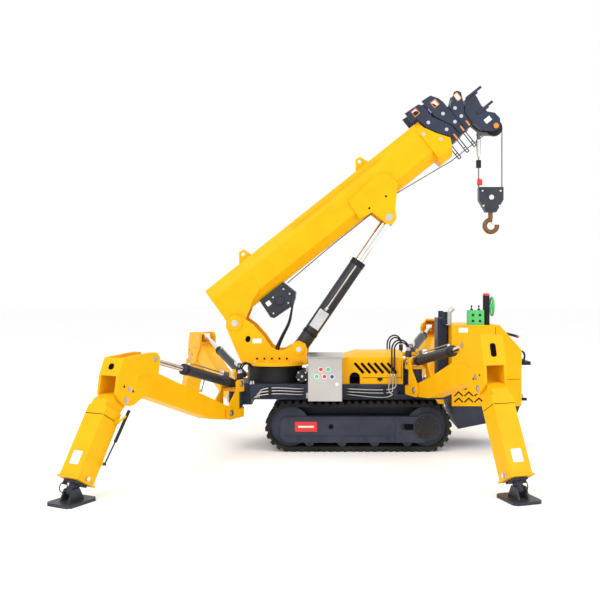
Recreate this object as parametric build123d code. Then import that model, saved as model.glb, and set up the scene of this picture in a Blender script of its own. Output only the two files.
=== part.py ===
from build123d import *
import math
import os

# Compact crawler crane with a telescopic boom and four outrigger legs.
# Millimetres, +Z up, +X towards the machine's rear, tracks along X, ground at Z = 0.

os.makedirs("parts", exist_ok=True)

# Tracks
TRACK_LENGTH = 1674
TRACK_HEIGHT = 445
TRACK_Y_IN = 220
TRACK_Y_OUT = 420
BAND_THICK = 24
LUG_HEIGHT = 20
LUG_ROOT = 44
LUG_TIP = 30
LUG_PITCH = 66
FRAME_GAP = 0.2
FRAME_TALL = 233
FRAME_STEP = 8
ROLLER_R = 45

# Chassis, clear of the tracks on all sides
TRACK_CLEAR = 10
BEAM_X0 = -980
BEAM_X1 = TRACK_LENGTH / 2 + TRACK_CLEAR + 4
BEAM_Z0 = TRACK_HEIGHT + TRACK_CLEAR
BEAM_TALL = 137
BEAM_Z1 = BEAM_Z0 + BEAM_TALL
BEAM_HALF = 300
KEEL_HALF = TRACK_Y_IN - 2 * TRACK_CLEAR
KEEL_X0, KEEL_X1 = -560, 700
KEEL_Z0 = 190

# Turret
SLEW_X = -775
RING_R = 255
RING_TALL = 163
RING_Z1 = BEAM_Z1 + RING_TALL
TABLE_R = 322
TABLE_THICK = 35
RUN_GAP = 0.3
CHEEK_IN, CHEEK_OUT = 150, 176

# Boom, in its own frame: u along the boom, v across it, from the foot pin
FOOT_X, FOOT_Z = SLEW_X - 362, RING_Z1 + 388
BOOM_ANGLE = 38.5
FOOT_PIN_R = 30
LIFT_BASE_X, LIFT_BASE_Z = SLEW_X + 231, RING_Z1 + 145
LIFT_EYE_U, LIFT_EYE_V = 1731, -121
BARREL_R, ROD_R = 70, 46
LIFT_BARREL_LEN = 1000
LIFT_EXTEND, LIFT_RETRACT = 350, 360
BASE_U0, BASE_U1 = -45, 2505
BASE_HALF = 135
BASE_V0, BASE_V1 = 24, 412
LUG_HOLES = [(445, BASE_V1 + 60), (1855, BASE_V1 + 60)]
LUG_HOLE_R, LUG_THICK = 17, 24
SECTION_STEP = 13
SECTION_HALF = 119
SECTION_V0, SECTION_V1 = 99, 396
SECTION_WALL = 6
SECTION_TAIL_U = 160
SECTION_TAIL_STEP = 45
BAR_PAST = [100, 225, 312, 440]
HEAD_CHEEK, HEAD_NOSE = 14, 100
TIP_U = BASE_U1 + 318
WINDOW_UV = [(BASE_U1 + 25, 490), (BASE_U1 + 222, 445)]
COLLAR_GROW, COLLAR_TOP, COLLAR_LOW = 22, 20, 50

# Hook falls
SHEAVE_U, SHEAVE_V = TIP_U + 230, -72
SHEAVE_R = 80
ROPE_SLOT = 26
SHEAVE_PIN_R = 20
ROPE_R = 5
FALL_DROP = 800
FALL_APART = 225
BLOCK_H = 235
BLOCK_HALF_X = 115
HOOK_DROP, HOOK_R = 128, 58

# Outrigger legs, in the leg's own frame: r outward from the swing pin, z up
LEG_FRONT_X, LEG_REAR_X = -TRACK_LENGTH / 2 - 273, 510
LEG_Y = 330
FRONT_SPREAD, REAR_SPREAD = 63.0, 72.0
SWING_PIN_R = 28
LUG_R = 62
LUG_RISE, LUG_TALL = 20, 150
NECK_Y = 222
ARM_PIN_R0 = 205
ARM_PIN_Z = {"front": 370, "rear": BEAM_Z0 + 115}
ARM_LEN = {"front": 1361, "rear": 1165}
LEG_LEN = {"front": 716, "rear": 769}
LEG_TILT = {"front": 58.5, "rear": 62.5}
LEG_OFFSET = 68
PAD_PIN_Z = 75
ARM_HALF = 72
KNEE_HALF = 92
KNEE_TOP = {"front": 296, "rear": 385}
LEG_HALF = 85
LEG_TOP = 105
FLANGE, FLANGE_GROW = 14, 10
FOOT_TALL = 70
EYE_BACK = {"front": 262, "rear": 205}
EYE_UP = {"front": 335, "rear": 330}
CYL_BASE_R0, CYL_BASE_UP = 50, 240
LEG_BARREL_R, LEG_ROD_R = 42, 24
LEG_BARREL_LEN = 735
LEG_EXTEND, LEG_RETRACT = 30, 330
PAD_HALF_R, PAD_HALF_Y = 135, 110
PAD_THICK = 22
PAD_CUT = 40
ARM_PIN_R, KNEE_PIN_R, PAD_PIN_R = 26, 24, 16
CYL_PIN_R = 20

NODES = {}


def block(x0, x1, y0, y1, z0, z1):
    return Pos((x0 + x1) / 2, (y0 + y1) / 2, (z0 + z1) / 2) * Box(x1 - x0, y1 - y0, z1 - z0)


def plate(points, y0, y1):
    """A polygon in the XZ plane, drawn out along Y."""
    face = make_face(Polyline(*[(x, y0, z) for x, z in points], close=True))
    return extrude(face, amount=y1 - y0, dir=(0, 1, 0))


def bar_u(points, u0, u1):
    """A polygon in the YZ plane, drawn out along X."""
    face = make_face(Polyline(*[(u0, y, z) for y, z in points], close=True))
    return extrude(face, amount=u1 - u0, dir=(1, 0, 0))


def rod_y(x, z, r, y0, y1):
    return Pos(x, (y0 + y1) / 2, z) * Rot(90, 0, 0) * Cylinder(r, y1 - y0)


def rod_x(y, z, r, x0, x1):
    return Pos((x0 + x1) / 2, y, z) * Rot(0, 90, 0) * Cylinder(r, x1 - x0)


def rod_z(x, y, r, z0, z1):
    return Pos(x, y, (z0 + z1) / 2) * Cylinder(r, z1 - z0)


def both_sides(solid):
    return solid + mirror(solid, about=Plane.XZ)


def boom_frame(solid):
    return Pos(FOOT_X, 0, FOOT_Z) * Rot(0, -BOOM_ANGLE, 0) * solid


def boom_point(u, v):
    a = math.radians(BOOM_ANGLE)
    return FOOT_X + u * math.cos(a) - v * math.sin(a), FOOT_Z + u * math.sin(a) + v * math.cos(a)


def leg_place(solid, leg):
    return Pos(leg["x"], leg["y"], 0) * Rot(0, 0, leg["heading"]) * solid


def keep(name, solid):
    NODES[name] = solid


# Legs: where each stands and how it is posed
def leg_data():
    legs = []
    for end, x, spread in (("front", LEG_FRONT_X, FRONT_SPREAD), ("rear", LEG_REAR_X, REAR_SPREAD)):
        for side, sign in (("left", -1), ("right", 1)):
            heading = sign * (180 - spread) if end == "front" else sign * spread
            drop = math.radians(LEG_TILT[end])
            z1 = ARM_PIN_Z[end]
            knee_z = PAD_PIN_Z + LEG_LEN[end] * math.sin(drop) - LEG_OFFSET * math.cos(drop)
            rise = math.asin((knee_z - z1) / ARM_LEN[end])
            knee = (ARM_PIN_R0 + ARM_LEN[end] * math.cos(rise), knee_z)
            foot = (knee[0] + LEG_LEN[end] * math.cos(drop) + LEG_OFFSET * math.sin(drop), PAD_PIN_Z)
            back, up = EYE_BACK[end], EYE_UP[end]
            eye = (
                knee[0] - back * math.cos(rise) - up * math.sin(rise),
                knee[1] - back * math.sin(rise) + up * math.cos(rise),
            )
            legs.append(
                {
                    "name": end + "_" + side,
                    "end": end,
                    "x": x,
                    "y": sign * LEG_Y,
                    "sign": sign,
                    "heading": heading,
                    "rise": math.degrees(rise),
                    "drop": math.degrees(drop),
                    "pin": (ARM_PIN_R0, z1),
                    "base": (CYL_BASE_R0, z1 + CYL_BASE_UP),
                    "knee": knee,
                    "foot": foot,
                    "eye": eye,
                }
            )
    return legs


LEGS = leg_data()


# Tracks
def along_stadium(half_len, radius, z_mid, distance):
    """Point and outward direction at a distance along the loop."""
    straight = 2 * (half_len - radius)
    arc = math.pi * radius
    s = distance % (2 * straight + 2 * arc)
    if s < straight:
        return -straight / 2 + s, z_mid - radius, 0.0, -1.0
    s -= straight
    if s < arc:
        a = -math.pi / 2 + s / radius
        return straight / 2 + radius * math.cos(a), z_mid + radius * math.sin(a), math.cos(a), math.sin(a)
    s -= arc
    if s < straight:
        return straight / 2 - s, z_mid + radius, 0.0, 1.0
    s -= straight
    a = math.pi / 2 + s / radius
    return -straight / 2 + radius * math.cos(a), z_mid + radius * math.sin(a), math.cos(a), math.sin(a)


def track_loop(y0, y1):
    radius = TRACK_HEIGHT / 2 - LUG_HEIGHT
    half = TRACK_LENGTH / 2 - LUG_HEIGHT
    z_mid = TRACK_HEIGHT / 2
    length = 4 * (half - radius) + 2 * math.pi * radius
    count = int(length / LUG_PITCH)
    pitch = length / count
    outline = []
    for i in range(count):
        for offset, out in (
            (-LUG_ROOT / 2, 0),
            (-LUG_TIP / 2, LUG_HEIGHT),
            (LUG_TIP / 2, LUG_HEIGHT),
            (LUG_ROOT / 2, 0),
        ):
            x, z, nx, nz = along_stadium(half, radius, z_mid, (i + 0.5) * pitch + offset)
            outline.append((x + nx * out, z + nz * out))
    loop = plate(outline, y0, y1)
    end = half - radius
    inner = radius - BAND_THICK
    hole = block(-end, end, y0 - 1, y1 + 1, z_mid - inner, z_mid + inner)
    for x in (-end, end):
        hole += rod_y(x, z_mid, inner, y0 - 1, y1 + 1)
    return loop - hole


def track_frame(sign):
    """Side frame with its wheels, inside the loop and joined to the keel."""
    z_mid = TRACK_HEIGHT / 2
    inner = TRACK_HEIGHT / 2 - LUG_HEIGHT - BAND_THICK
    wheel = inner - FRAME_GAP
    end = TRACK_LENGTH / 2 - LUG_HEIGHT - BAND_THICK - inner
    y0, y1 = TRACK_Y_IN + 20, TRACK_Y_OUT - 20
    z0, z1 = z_mid - FRAME_TALL * 0.61, z_mid + FRAME_TALL * 0.39
    x0, x1 = -end - 85, end - 20
    outline = [(x0 + 45, z0), (x0, z0 + 45), (x0, z1 - 45), (x0 + 45, z1), (x1, z1), (x1, z0)]
    body = plate(outline, y0, y1)
    body += rod_y(-end, z_mid, wheel, y0 + 30, y1 - 30)
    body += rod_y(end, z_mid, wheel, y0 + 30, y1 - 30)
    body += rod_y(end, z_mid, wheel * 0.68, y1 - 30, y1 + 14)
    body += block(x1 - 260, x1, y0, y1 + FRAME_STEP, z0, z1)
    window = block(x1 - 190, x1 - 100, y1 - 12, y1 + FRAME_STEP + 1, z_mid - 28, z_mid + 28)
    for x in (x1 - 190, x1 - 100):
        window += rod_y(x, z_mid, 28, y1 - 12, y1 + FRAME_STEP + 1)
    body -= window
    for i in range(4):
        x = (i - 1.5) * (2 * end - 350) / 3
        body += rod_y(x, LUG_HEIGHT + BAND_THICK + FRAME_GAP + ROLLER_R, ROLLER_R, y0 + 10, y1 - 10)
    for x in (-end / 2, end / 2):
        body += block(x - 70, x + 70, KEEL_HALF, y0, z_mid - 20, z_mid + 70)
    return body if sign > 0 else mirror(body, about=Plane.XZ)


for side, sign in (("left", -1), ("right", 1)):
    y0, y1 = (TRACK_Y_IN, TRACK_Y_OUT) if sign > 0 else (-TRACK_Y_OUT, -TRACK_Y_IN)
    keep("track_" + side, track_loop(y0, y1))
    keep("track_frame_" + side, track_frame(sign))


# Chassis beam with the four swing lugs
def chassis():
    body = block(BEAM_X0, BEAM_X1, -BEAM_HALF, BEAM_HALF, BEAM_Z0, BEAM_Z1)
    body += block(KEEL_X0, KEEL_X1, -KEEL_HALF, KEEL_HALF, KEEL_Z0, BEAM_Z0)
    body += block(LEG_FRONT_X - 60, BEAM_X0, -NECK_Y, NECK_Y, BEAM_Z0 - 60, BEAM_Z1)
    for leg in LEGS:
        z0 = leg["pin"][1] + LUG_RISE
        z1 = z0 + LUG_TALL
        lug = rod_z(leg["x"], LEG_Y, LUG_R, z0, z1)
        lug += block(leg["x"] - 55, leg["x"] + 55, NECK_Y - 60, LEG_Y, z0, z1)
        if leg["end"] == "rear":
            notch_z = leg["pin"][1] - 70
            notch = block(leg["x"] - 152, leg["x"] + 152, NECK_Y, BEAM_HALF + 1, notch_z, BEAM_Z1 + 1)
            body -= both_sides(notch)
            lug += block(leg["x"] - 80, leg["x"] + 80, NECK_Y - 90, NECK_Y, BEAM_Z1 - 60, z1)
        lug -= rod_z(leg["x"], LEG_Y, SWING_PIN_R + RUN_GAP, z0 - 1, z1 + 1)
        if leg["sign"] < 0:
            lug = mirror(lug, about=Plane.XZ)
        body += lug
    return body


keep("chassis", chassis())

# Slew ring with its drive motor, whose flange faces the near side
MOTOR_X, MOTOR_Z = SLEW_X + RING_R + 10, BEAM_Z1 + 72
MOTOR_R = 52
ring = rod_z(SLEW_X, 0, RING_R, BEAM_Z1, RING_Z1 - RUN_GAP)
ring += rod_y(MOTOR_X, MOTOR_Z, MOTOR_R, -BEAM_HALF + 40, 0)
ring += block(MOTOR_X - 60, MOTOR_X + 40, -140, 140, BEAM_Z1, MOTOR_Z)
keep("slew_ring", ring)


# Deck: hood, rear control box, skirt, boom rest, levers, console, cabinet
HOOD_X0, HOOD_X1 = SLEW_X + 392, LEG_REAR_X - 100
HOOD_HALF = 285
HOOD_TALL, HOOD_EDGE, HOOD_LOW = 280, 242, 216
CROWN_HALF = 200
hood = plate(
    [
        (HOOD_X0, BEAM_Z1),
        (HOOD_X0, BEAM_Z1 + HOOD_LOW),
        (HOOD_X0 + 206, BEAM_Z1 + HOOD_LOW + 6),
        (HOOD_X0 + 370, BEAM_Z1 + HOOD_TALL),
        (HOOD_X1, BEAM_Z1 + HOOD_TALL),
        (HOOD_X1, BEAM_Z1),
    ],
    -HOOD_HALF,
    HOOD_HALF,
)
hood = hood & bar_u(
    [
        (-HOOD_HALF, BEAM_Z1),
        (-HOOD_HALF, BEAM_Z1 + HOOD_EDGE),
        (-CROWN_HALF, BEAM_Z1 + HOOD_TALL),
        (CROWN_HALF, BEAM_Z1 + HOOD_TALL),
        (HOOD_HALF, BEAM_Z1 + HOOD_EDGE),
        (HOOD_HALF, BEAM_Z1),
    ],
    HOOD_X0,
    HOOD_X1,
)
keep("engine_hood", hood)

BOX_LEN = 634
BOX_X0, BOX_X1 = BEAM_X1, BEAM_X1 + BOX_LEN
BOX_HALF = 315
BOX_Z0, BOX_Z1 = BEAM_Z0 - 60, BEAM_Z1 + 538
BOX_SLOPE_X, BOX_SLOPE_Z = 199, 225
keep(
    "control_box",
    plate(
        [
            (BOX_X0, BOX_Z0),
            (BOX_X0, BOX_Z1),
            (BOX_X1 - BOX_SLOPE_X, BOX_Z1),
            (BOX_X1, BOX_Z1 - BOX_SLOPE_Z),
            (BOX_X1, BOX_Z0),
        ],
        -BOX_HALF,
        BOX_HALF,
    ),
)
keep(
    "rear_skirt",
    plate(
        [
            (BOX_X0, BOX_Z0),
            (BOX_X0 + 60, BOX_Z0 - 210),
            (BOX_X1 - 245, BOX_Z0 - 145),
            (BOX_X1 - 35, BOX_Z0 - 65),
            (BOX_X1 - 10, BOX_Z0),
        ],
        -BOX_HALF + 15,
        BOX_HALF - 15,
    ),
)
REST_X0, REST_X1 = BEAM_X1 - 103, BEAM_X1 - 13
REST_Z = BOX_Z1 + 58
rest = block(REST_X0, REST_X1, -112, 112, BEAM_Z1, REST_Z)
rest -= block(REST_X0 + 12, REST_X1 + 1, -100, 100, BEAM_Z1 + 60, REST_Z - 12)
WING_X0 = REST_X0 + 42
rest += both_sides(block(WING_X0, REST_X1, 112, 168, REST_Z - 60, REST_Z - 30))
rest += both_sides(block(WING_X0, REST_X1, 156, 168, REST_Z - 60, REST_Z + 60))
keep("boom_rest", rest)
keep(
    "levers",
    block(BOX_X1, BOX_X1 + 105, -230, 230, BOX_Z1 - 370, BOX_Z1 - 340)
    + both_sides(rod_x(255, BOX_Z0 + 55, 14, BOX_X1, BOX_X1 + 60)),
)
CONSOLE_Y = -230
keep(
    "remote_console",
    block(BOX_X0 + 159, BOX_X0 + 299, CONSOLE_Y - 60, CONSOLE_Y + 60, BOX_Z1, BOX_Z1 + 135)
    + rod_z(BOX_X0 + 329, CONSOLE_Y, 28, BOX_Z1, BOX_Z1 + 270)
    + block(BOX_X0 + 299, BOX_X0 + 329, CONSOLE_Y - 20, CONSOLE_Y + 20, BOX_Z1 + 20, BOX_Z1 + 70),
)
CAB_X0, CAB_X1 = -450, -148
CAB_Z0, CAB_Z1 = BEAM_Z0 + 7, BEAM_Z0 + 395
CAB_Y0, CAB_Y1 = -455, -BEAM_HALF
DOOR_THICK = 20
shell = block(CAB_X0, CAB_X1, CAB_Y0, CAB_Y1, CAB_Z0, CAB_Z1)
shell -= block(CAB_X0 + 12, CAB_X1 - 12, CAB_Y0 - 1, CAB_Y1 - 12, CAB_Z0 + 12, CAB_Z1 - 12)
lid = [(CAB_Y0 - 40, CAB_Z1), (CAB_Y0 - 40, CAB_Z1 + 8), (CAB_Y1, CAB_Z1 + 34), (CAB_Y1, CAB_Z1)]
shell += bar_u(lid, CAB_X0 - 14, CAB_X1 + 14)
HINGE_X, HINGE_Y = CAB_X0 - 9, CAB_Y0 - 9
KNUCKLE_R, HINGE_PIN_R = 8, 4
door = block(CAB_X0 + 4, CAB_X1, CAB_Y0 - DOOR_THICK - RUN_GAP, CAB_Y0 - RUN_GAP, CAB_Z0, CAB_Z1 - 6)
for z in (CAB_Z0 + 50, CAB_Z1 - 100):
    knuckle = rod_z(HINGE_X, HINGE_Y, KNUCKLE_R, z, z + 24)
    leaf = block(HINGE_X, CAB_X0 + 4, HINGE_Y - 4, HINGE_Y + 4, z, z + 24)
    door += knuckle + leaf
    door -= rod_z(HINGE_X, HINGE_Y, HINGE_PIN_R + RUN_GAP, z - 1, z + 25)
    pin = rod_z(HINGE_X, HINGE_Y, HINGE_PIN_R, z - 24, z + 22)
    pin += rod_z(HINGE_X, HINGE_Y, KNUCKLE_R, z - 24, z - RUN_GAP)
    pin += block(HINGE_X - KNUCKLE_R, CAB_X0 + 1, HINGE_Y, CAB_Y0 + 12, z - 24, z - RUN_GAP)
    shell += pin
keep("cabinet", shell)
keep("cabinet_door", door)


# Turret: table, two cheeks, lift fork
def turret():
    z0 = RING_Z1
    z1 = z0 + TABLE_THICK
    body = rod_z(SLEW_X, 0, TABLE_R, z0, z1)
    outline = [
        (SLEW_X - 290, z0),
        (SLEW_X - 330, z0 + 80),
        (FOOT_X - 82, FOOT_Z - 40),
        (FOOT_X - 82, FOOT_Z + 10),
        (FOOT_X - 58, FOOT_Z + 58),
        (FOOT_X, FOOT_Z + 82),
        (FOOT_X + 62, FOOT_Z + 62),
        (FOOT_X + 175, FOOT_Z - 20),
        (SLEW_X - 95, z0 + 265),
        (SLEW_X - 30, z0 + 170),
        (SLEW_X + 30, z0 + 136),
        (SLEW_X + 90, z0 + 140),
        (LIFT_BASE_X - 78, LIFT_BASE_Z + 30),
        (LIFT_BASE_X - 40, LIFT_BASE_Z + 68),
        (LIFT_BASE_X, LIFT_BASE_Z + 80),
        (LIFT_BASE_X + 60, LIFT_BASE_Z + 50),
        (LIFT_BASE_X + 80, LIFT_BASE_Z - 10),
        (SLEW_X + 300, z0),
    ]
    cheek = plate(outline, CHEEK_IN, CHEEK_OUT)
    body += both_sides(cheek)
    body += block(SLEW_X - 290, SLEW_X - 230, -CHEEK_IN, CHEEK_IN, z0, z0 + 165)
    body += rod_y(FOOT_X, FOOT_Z, FOOT_PIN_R, -CHEEK_IN, CHEEK_IN)
    body += rod_y(LIFT_BASE_X, LIFT_BASE_Z, 30, -CHEEK_IN, CHEEK_IN)
    return body


keep("turret", turret())


# Boom cross sections
def section_outline(half, v0, v1, low_y, low_v, top_y, top_v):
    right = [(half - low_y, v0), (half, v0 + low_v), (half, v1 - top_v), (half - top_y, v1)]
    return right + [(-y, v) for y, v in reversed(right)]


def inner_outline(n, grow=0.0):
    """Outside of telescopic section n (2 to 5), grown by a gap."""
    step = SECTION_STEP * (n - 2)
    return section_outline(
        SECTION_HALF - step + grow, SECTION_V0 + step - grow, SECTION_V1 - step + grow, 34, 40, 45, 107
    )


def bored(body, n, u0, u1, nose):
    """Bore for section n from u0 to u1, with a close guide over the last stretch."""
    body -= bar_u(inner_outline(n, SECTION_STEP - SECTION_WALL), u0, u1 - nose)
    body -= bar_u(inner_outline(n, RUN_GAP), u1 - nose - 1, u1 + 1)
    return body


def boom_base():
    body = bar_u(section_outline(BASE_HALF, BASE_V0, BASE_V1, 68, 82, 45, 107), BASE_U0, BASE_U1)
    body = bored(body, 2, 60, BASE_U1, 70)
    foot = plate(
        [
            (BASE_U0, 250),
            (-55, 60),
            (-70, 0),
            (-50, -50),
            (0, -72),
            (50, -50),
            (98, -30),
            (250, 60),
            (380, 110),
            (380, 250),
        ],
        BASE_HALF - 8,
        BASE_HALF + 8,
    )
    body += both_sides(foot)
    body -= rod_y(0, 0, FOOT_PIN_R + RUN_GAP, -160, 160)
    eye_u, eye_v = LIFT_EYE_U, LIFT_EYE_V
    bracket = plate(
        [
            (eye_u - 223, 40),
            (eye_u - 204, 234),
            (eye_u + 150, 262),
            (eye_u + 243, 223),
            (eye_u + 259, 76),
            (eye_u + 90, eye_v + 20),
            (eye_u + 50, eye_v - 50),
            (eye_u, eye_v - 70),
            (eye_u - 50, eye_v - 45),
            (eye_u - 93, 12),
        ],
        BASE_HALF - 8,
        BASE_HALF + 14,
    )
    body += both_sides(bracket)
    body -= block(eye_u - 420, eye_u + 200, -64, 64, BASE_V0 - 1, BASE_V0 + 60)
    for u, v in LUG_HOLES:
        lug = plate(
            [(u - 95, BASE_V1 - 4), (u - 15, v + 40), (u + 35, v + 30), (u + 65, BASE_V1 - 4)],
            -LUG_THICK / 2,
            LUG_THICK / 2,
        )
        lug -= rod_y(u, v, LUG_HOLE_R, -LUG_THICK, LUG_THICK)
        body += lug
    collar = section_outline(BASE_HALF + 14, BASE_V0 - 60, BASE_V1 - 50, 50, 60, 30, 60)
    inside = section_outline(BASE_HALF - 2, BASE_V0 + 6, BASE_V1 - 40, 66, 82, 45, 107)
    body += bar_u(collar, BASE_U1 - 70, BASE_U1) - bar_u(inside, BASE_U1 - 80, BASE_U1 + 10)
    nose = plate(
        [
            (BASE_U1 - 2, BASE_V0 - 60),
            (BASE_U1 - 2, 340),
            (BASE_U1 + 5, 320),
            (BASE_U1 + 57, 218),
            (BASE_U1 + 126, 117),
            (BASE_U1 + 133, 101),
            (BASE_U1 + 56, BASE_V0 - 60),
        ],
        -BASE_HALF - 14,
        BASE_HALF + 14,
    )
    nose &= bar_u(collar, BASE_U1 - 70, BASE_U1 + 200)
    body += nose - bar_u(inner_outline(2, RUN_GAP), BASE_U1 - 3, BASE_U1 + 201)
    return body


keep("boom_base", boom_frame(boom_base()))
WINCH_U, WINCH_HALF = 300, 95
winch = plate(
    [
        (WINCH_U, BASE_V0),
        (WINCH_U - 16, BASE_V0 - 185),
        (WINCH_U + 5, BASE_V0 - 212),
        (WINCH_U + 215, BASE_V0 - 228),
        (WINCH_U + 268, BASE_V0 - 194),
        (WINCH_U + 316, BASE_V0 - 146),
        (WINCH_U + 282, BASE_V0),
    ],
    -WINCH_HALF,
    WINCH_HALF,
)
keep("winch", boom_frame(winch))


def past_base(points):
    """Points given from the base's end, in the boom's frame."""
    return [(BASE_U1 + u, v) for u, v in points]


def head_outline(n):
    """Side outline of the head on section n (2 to 4); each stands clear in front of the one before."""
    if n == 2:
        return past_base(
            [
                (-57, 437),
                (-57, 545),
                (97, 532),
                (118, 500),
                (118, 366),
                (138, 335),
                (215, 182),
                (222, 70),
                (200, 52),
                (165, 60),
                (150, 101),
                (140, 117),
                (71, 218),
                (17, 320),
                (4, 437),
            ]
        )
    if n == 3:
        return past_base(
            [
                (139, 539),
                (236, 529),
                (277, 467),
                (293, 411),
                (293, 299),
                (296, 162),
                (296, 80),
                (270, 62),
                (234, 70),
                (226, 184),
                (148, 345),
                (148, 419),
            ]
        )
    return past_base(
        [
            (303, 75),
            (303, 162),
            (300, 299),
            (307, 325),
            (405, 402),
            (432, 420),
            (466, 409),
            (483, 377),
            (465, 339),
            (446, 295),
            (385, 206),
            (380, 105),
            (366, 68),
        ]
    )


def boom_section(n):
    tail = SECTION_TAIL_U + SECTION_TAIL_STEP * (n - 2)
    step = SECTION_STEP * (n - 2)
    body = bar_u(inner_outline(n), tail, BASE_U1 + BAR_PAST[n - 2])
    body += bar_u(inner_outline(n, SECTION_STEP - SECTION_WALL - RUN_GAP), tail, tail + 60)
    if n < 5:
        outline = head_outline(n)
        head0 = min(u for u, v in outline)
        head1 = max(u for u, v in outline)
        half = SECTION_HALF - step + COLLAR_GROW
        collar = section_outline(
            half, SECTION_V0 + step - COLLAR_LOW, SECTION_V1 - step + COLLAR_TOP, 40, 50, 40, 70
        )
        body += bar_u(collar, head0, head1) & plate(outline, -half, half)
        body += both_sides(plate(outline, half - HEAD_CHEEK, half))
        if n < 4:
            u, v = WINDOW_UV[n - 2]
            body -= block(u - 24, u + 24, -half - 1, half + 1, v - 26, v + 26)
        body = bored(body, n + 1, tail - 1, head1, HEAD_NOSE)
    else:
        half = SECTION_HALF - step + 14
        tip = plate(
            past_base(
                [
                    (394, 110),
                    (400, 214),
                    (494, 308),
                    (544, 314),
                    (580, 285),
                    (577, 243),
                    (561, 166),
                    (570, 84),
                    (618, 31),
                    (624, -40),
                    (SHEAVE_U - BASE_U1 + 20, SHEAVE_V - 40),
                    (SHEAVE_U - BASE_U1 - 45, SHEAVE_V - 20),
                    (422, -8),
                ]
            ),
            -half,
            half,
        )
        slot_top = SECTION_V0 + step - 8
        tip -= block(TIP_U, SHEAVE_U + 200, -ROPE_SLOT, ROPE_SLOT, SHEAVE_V - 150, slot_top)
        tip -= rod_y(SHEAVE_U, SHEAVE_V, SHEAVE_PIN_R + RUN_GAP, -half - 1, half + 1)
        for v in (302, 128):
            tip += both_sides(block(BASE_U1 + 488, BASE_U1 + 665, half - 4, half + 12, v - 12, v + 12))
        body += tip
    return body


for n in range(2, 6):
    keep("boom_section_%d" % n, boom_frame(boom_section(n)))

# Head sheave with its pin, fixed in the boom head
SHEAVE_X, SHEAVE_Z = boom_point(SHEAVE_U, SHEAVE_V)


# Cylinders
GLAND_LEN, PISTON_LEN = 40, 30
PISTON_SPARE, PISTON_GROW = 15, 6
LIFT_EYE_X, LIFT_EYE_Z = boom_point(LIFT_EYE_U, LIFT_EYE_V)
LIFT_DIR = math.degrees(math.atan2(LIFT_EYE_Z - LIFT_BASE_Z, LIFT_EYE_X - LIFT_BASE_X))
LIFT_LEN = math.hypot(LIFT_EYE_X - LIFT_BASE_X, LIFT_EYE_Z - LIFT_BASE_Z)


def cylinder_pair(barrel_r, rod_r, barrel_len, length, eye_r, eye_half, pin_r, extend, retract):
    """Barrel and rod along +X from the base pin at the origin; the eye carries its own pin."""
    gland = barrel_len - GLAND_LEN
    piston = gland - extend - PISTON_SPARE
    barrel = rod_x(0, 0, barrel_r, eye_r * 0.6, barrel_len)
    barrel += rod_y(0, 0, eye_r, -eye_half, eye_half)
    barrel -= rod_y(0, 0, pin_r + RUN_GAP, -eye_half - 1, eye_half + 1)
    barrel -= rod_x(0, 0, rod_r + PISTON_GROW, piston - PISTON_LEN - retract - PISTON_SPARE, gland)
    barrel -= rod_x(0, 0, rod_r + RUN_GAP, gland - 1, barrel_len + 1)
    rod = rod_x(0, 0, rod_r, piston - PISTON_LEN, length - eye_r * 0.6)
    rod += rod_x(0, 0, rod_r + PISTON_GROW - RUN_GAP, piston - PISTON_LEN, piston)
    rod += rod_y(length, 0, eye_r, -eye_half, eye_half)
    return barrel, rod


def place_cylinder(solid, x, z, direction):
    return Pos(x, 0, z) * Rot(0, -direction, 0) * solid


lift_barrel, lift_rod = cylinder_pair(
    BARREL_R, ROD_R, LIFT_BARREL_LEN, LIFT_LEN, 56, 45, 30, LIFT_EXTEND, LIFT_RETRACT
)
keep("lift_barrel", place_cylinder(lift_barrel, LIFT_BASE_X, LIFT_BASE_Z, LIFT_DIR))
keep("lift_rod", place_cylinder(lift_rod, LIFT_BASE_X, LIFT_BASE_Z, LIFT_DIR))


# Falls, hook block and hook
FALL_X = SHEAVE_X + SHEAVE_R
DEAD_X = FALL_X - FALL_APART
BLOCK_X = (FALL_X + DEAD_X) / 2
BLOCK_Z1 = SHEAVE_Z - FALL_DROP + BLOCK_H
BLOCK_Z0 = BLOCK_Z1 - BLOCK_H


def falls():
    body = rod_y(SHEAVE_X, SHEAVE_Z, SHEAVE_R, -10, 10)
    body += rod_y(SHEAVE_X, SHEAVE_Z, SHEAVE_PIN_R, -110, 110)
    body += block(DEAD_X - 20, SHEAVE_X, -8, 8, SHEAVE_Z - 75, SHEAVE_Z - 45)
    body += rod_z(FALL_X - 4, 0, ROPE_R, BLOCK_Z1 + RUN_GAP, SHEAVE_Z)
    body += rod_z(DEAD_X, 0, 18, SHEAVE_Z - 230, SHEAVE_Z - 60)
    body += rod_z(DEAD_X, 0, ROPE_R, BLOCK_Z1 + RUN_GAP, SHEAVE_Z - 200)
    return body


keep("rope_falls", falls())
block_outline = [
    (BLOCK_X - BLOCK_HALF_X, BLOCK_Z1),
    (BLOCK_X + BLOCK_HALF_X, BLOCK_Z1),
    (BLOCK_X + BLOCK_HALF_X, BLOCK_Z1 - 120),
    (BLOCK_X + BLOCK_HALF_X - 35, BLOCK_Z1 - 180),
    (BLOCK_X + 50, BLOCK_Z0),
    (BLOCK_X - 50, BLOCK_Z0),
    (BLOCK_X - BLOCK_HALF_X + 35, BLOCK_Z1 - 180),
    (BLOCK_X - BLOCK_HALF_X, BLOCK_Z1 - 120),
]
keep("hook_block", plate(block_outline, -45, 45))


def hook():
    top = BLOCK_Z0 - RUN_GAP
    body = rod_z(BLOCK_X, 0, 22, top - 60, top)
    ring = Pos(BLOCK_X + 4, 0, top - HOOK_DROP) * Rot(90, 0, 0) * Torus(HOOK_R, 22)
    ring -= block(BLOCK_X + 15, BLOCK_X + 130, -40, 40, top - HOOK_DROP + 10, top - 50)
    return body + ring


keep("hook", hook())


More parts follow.
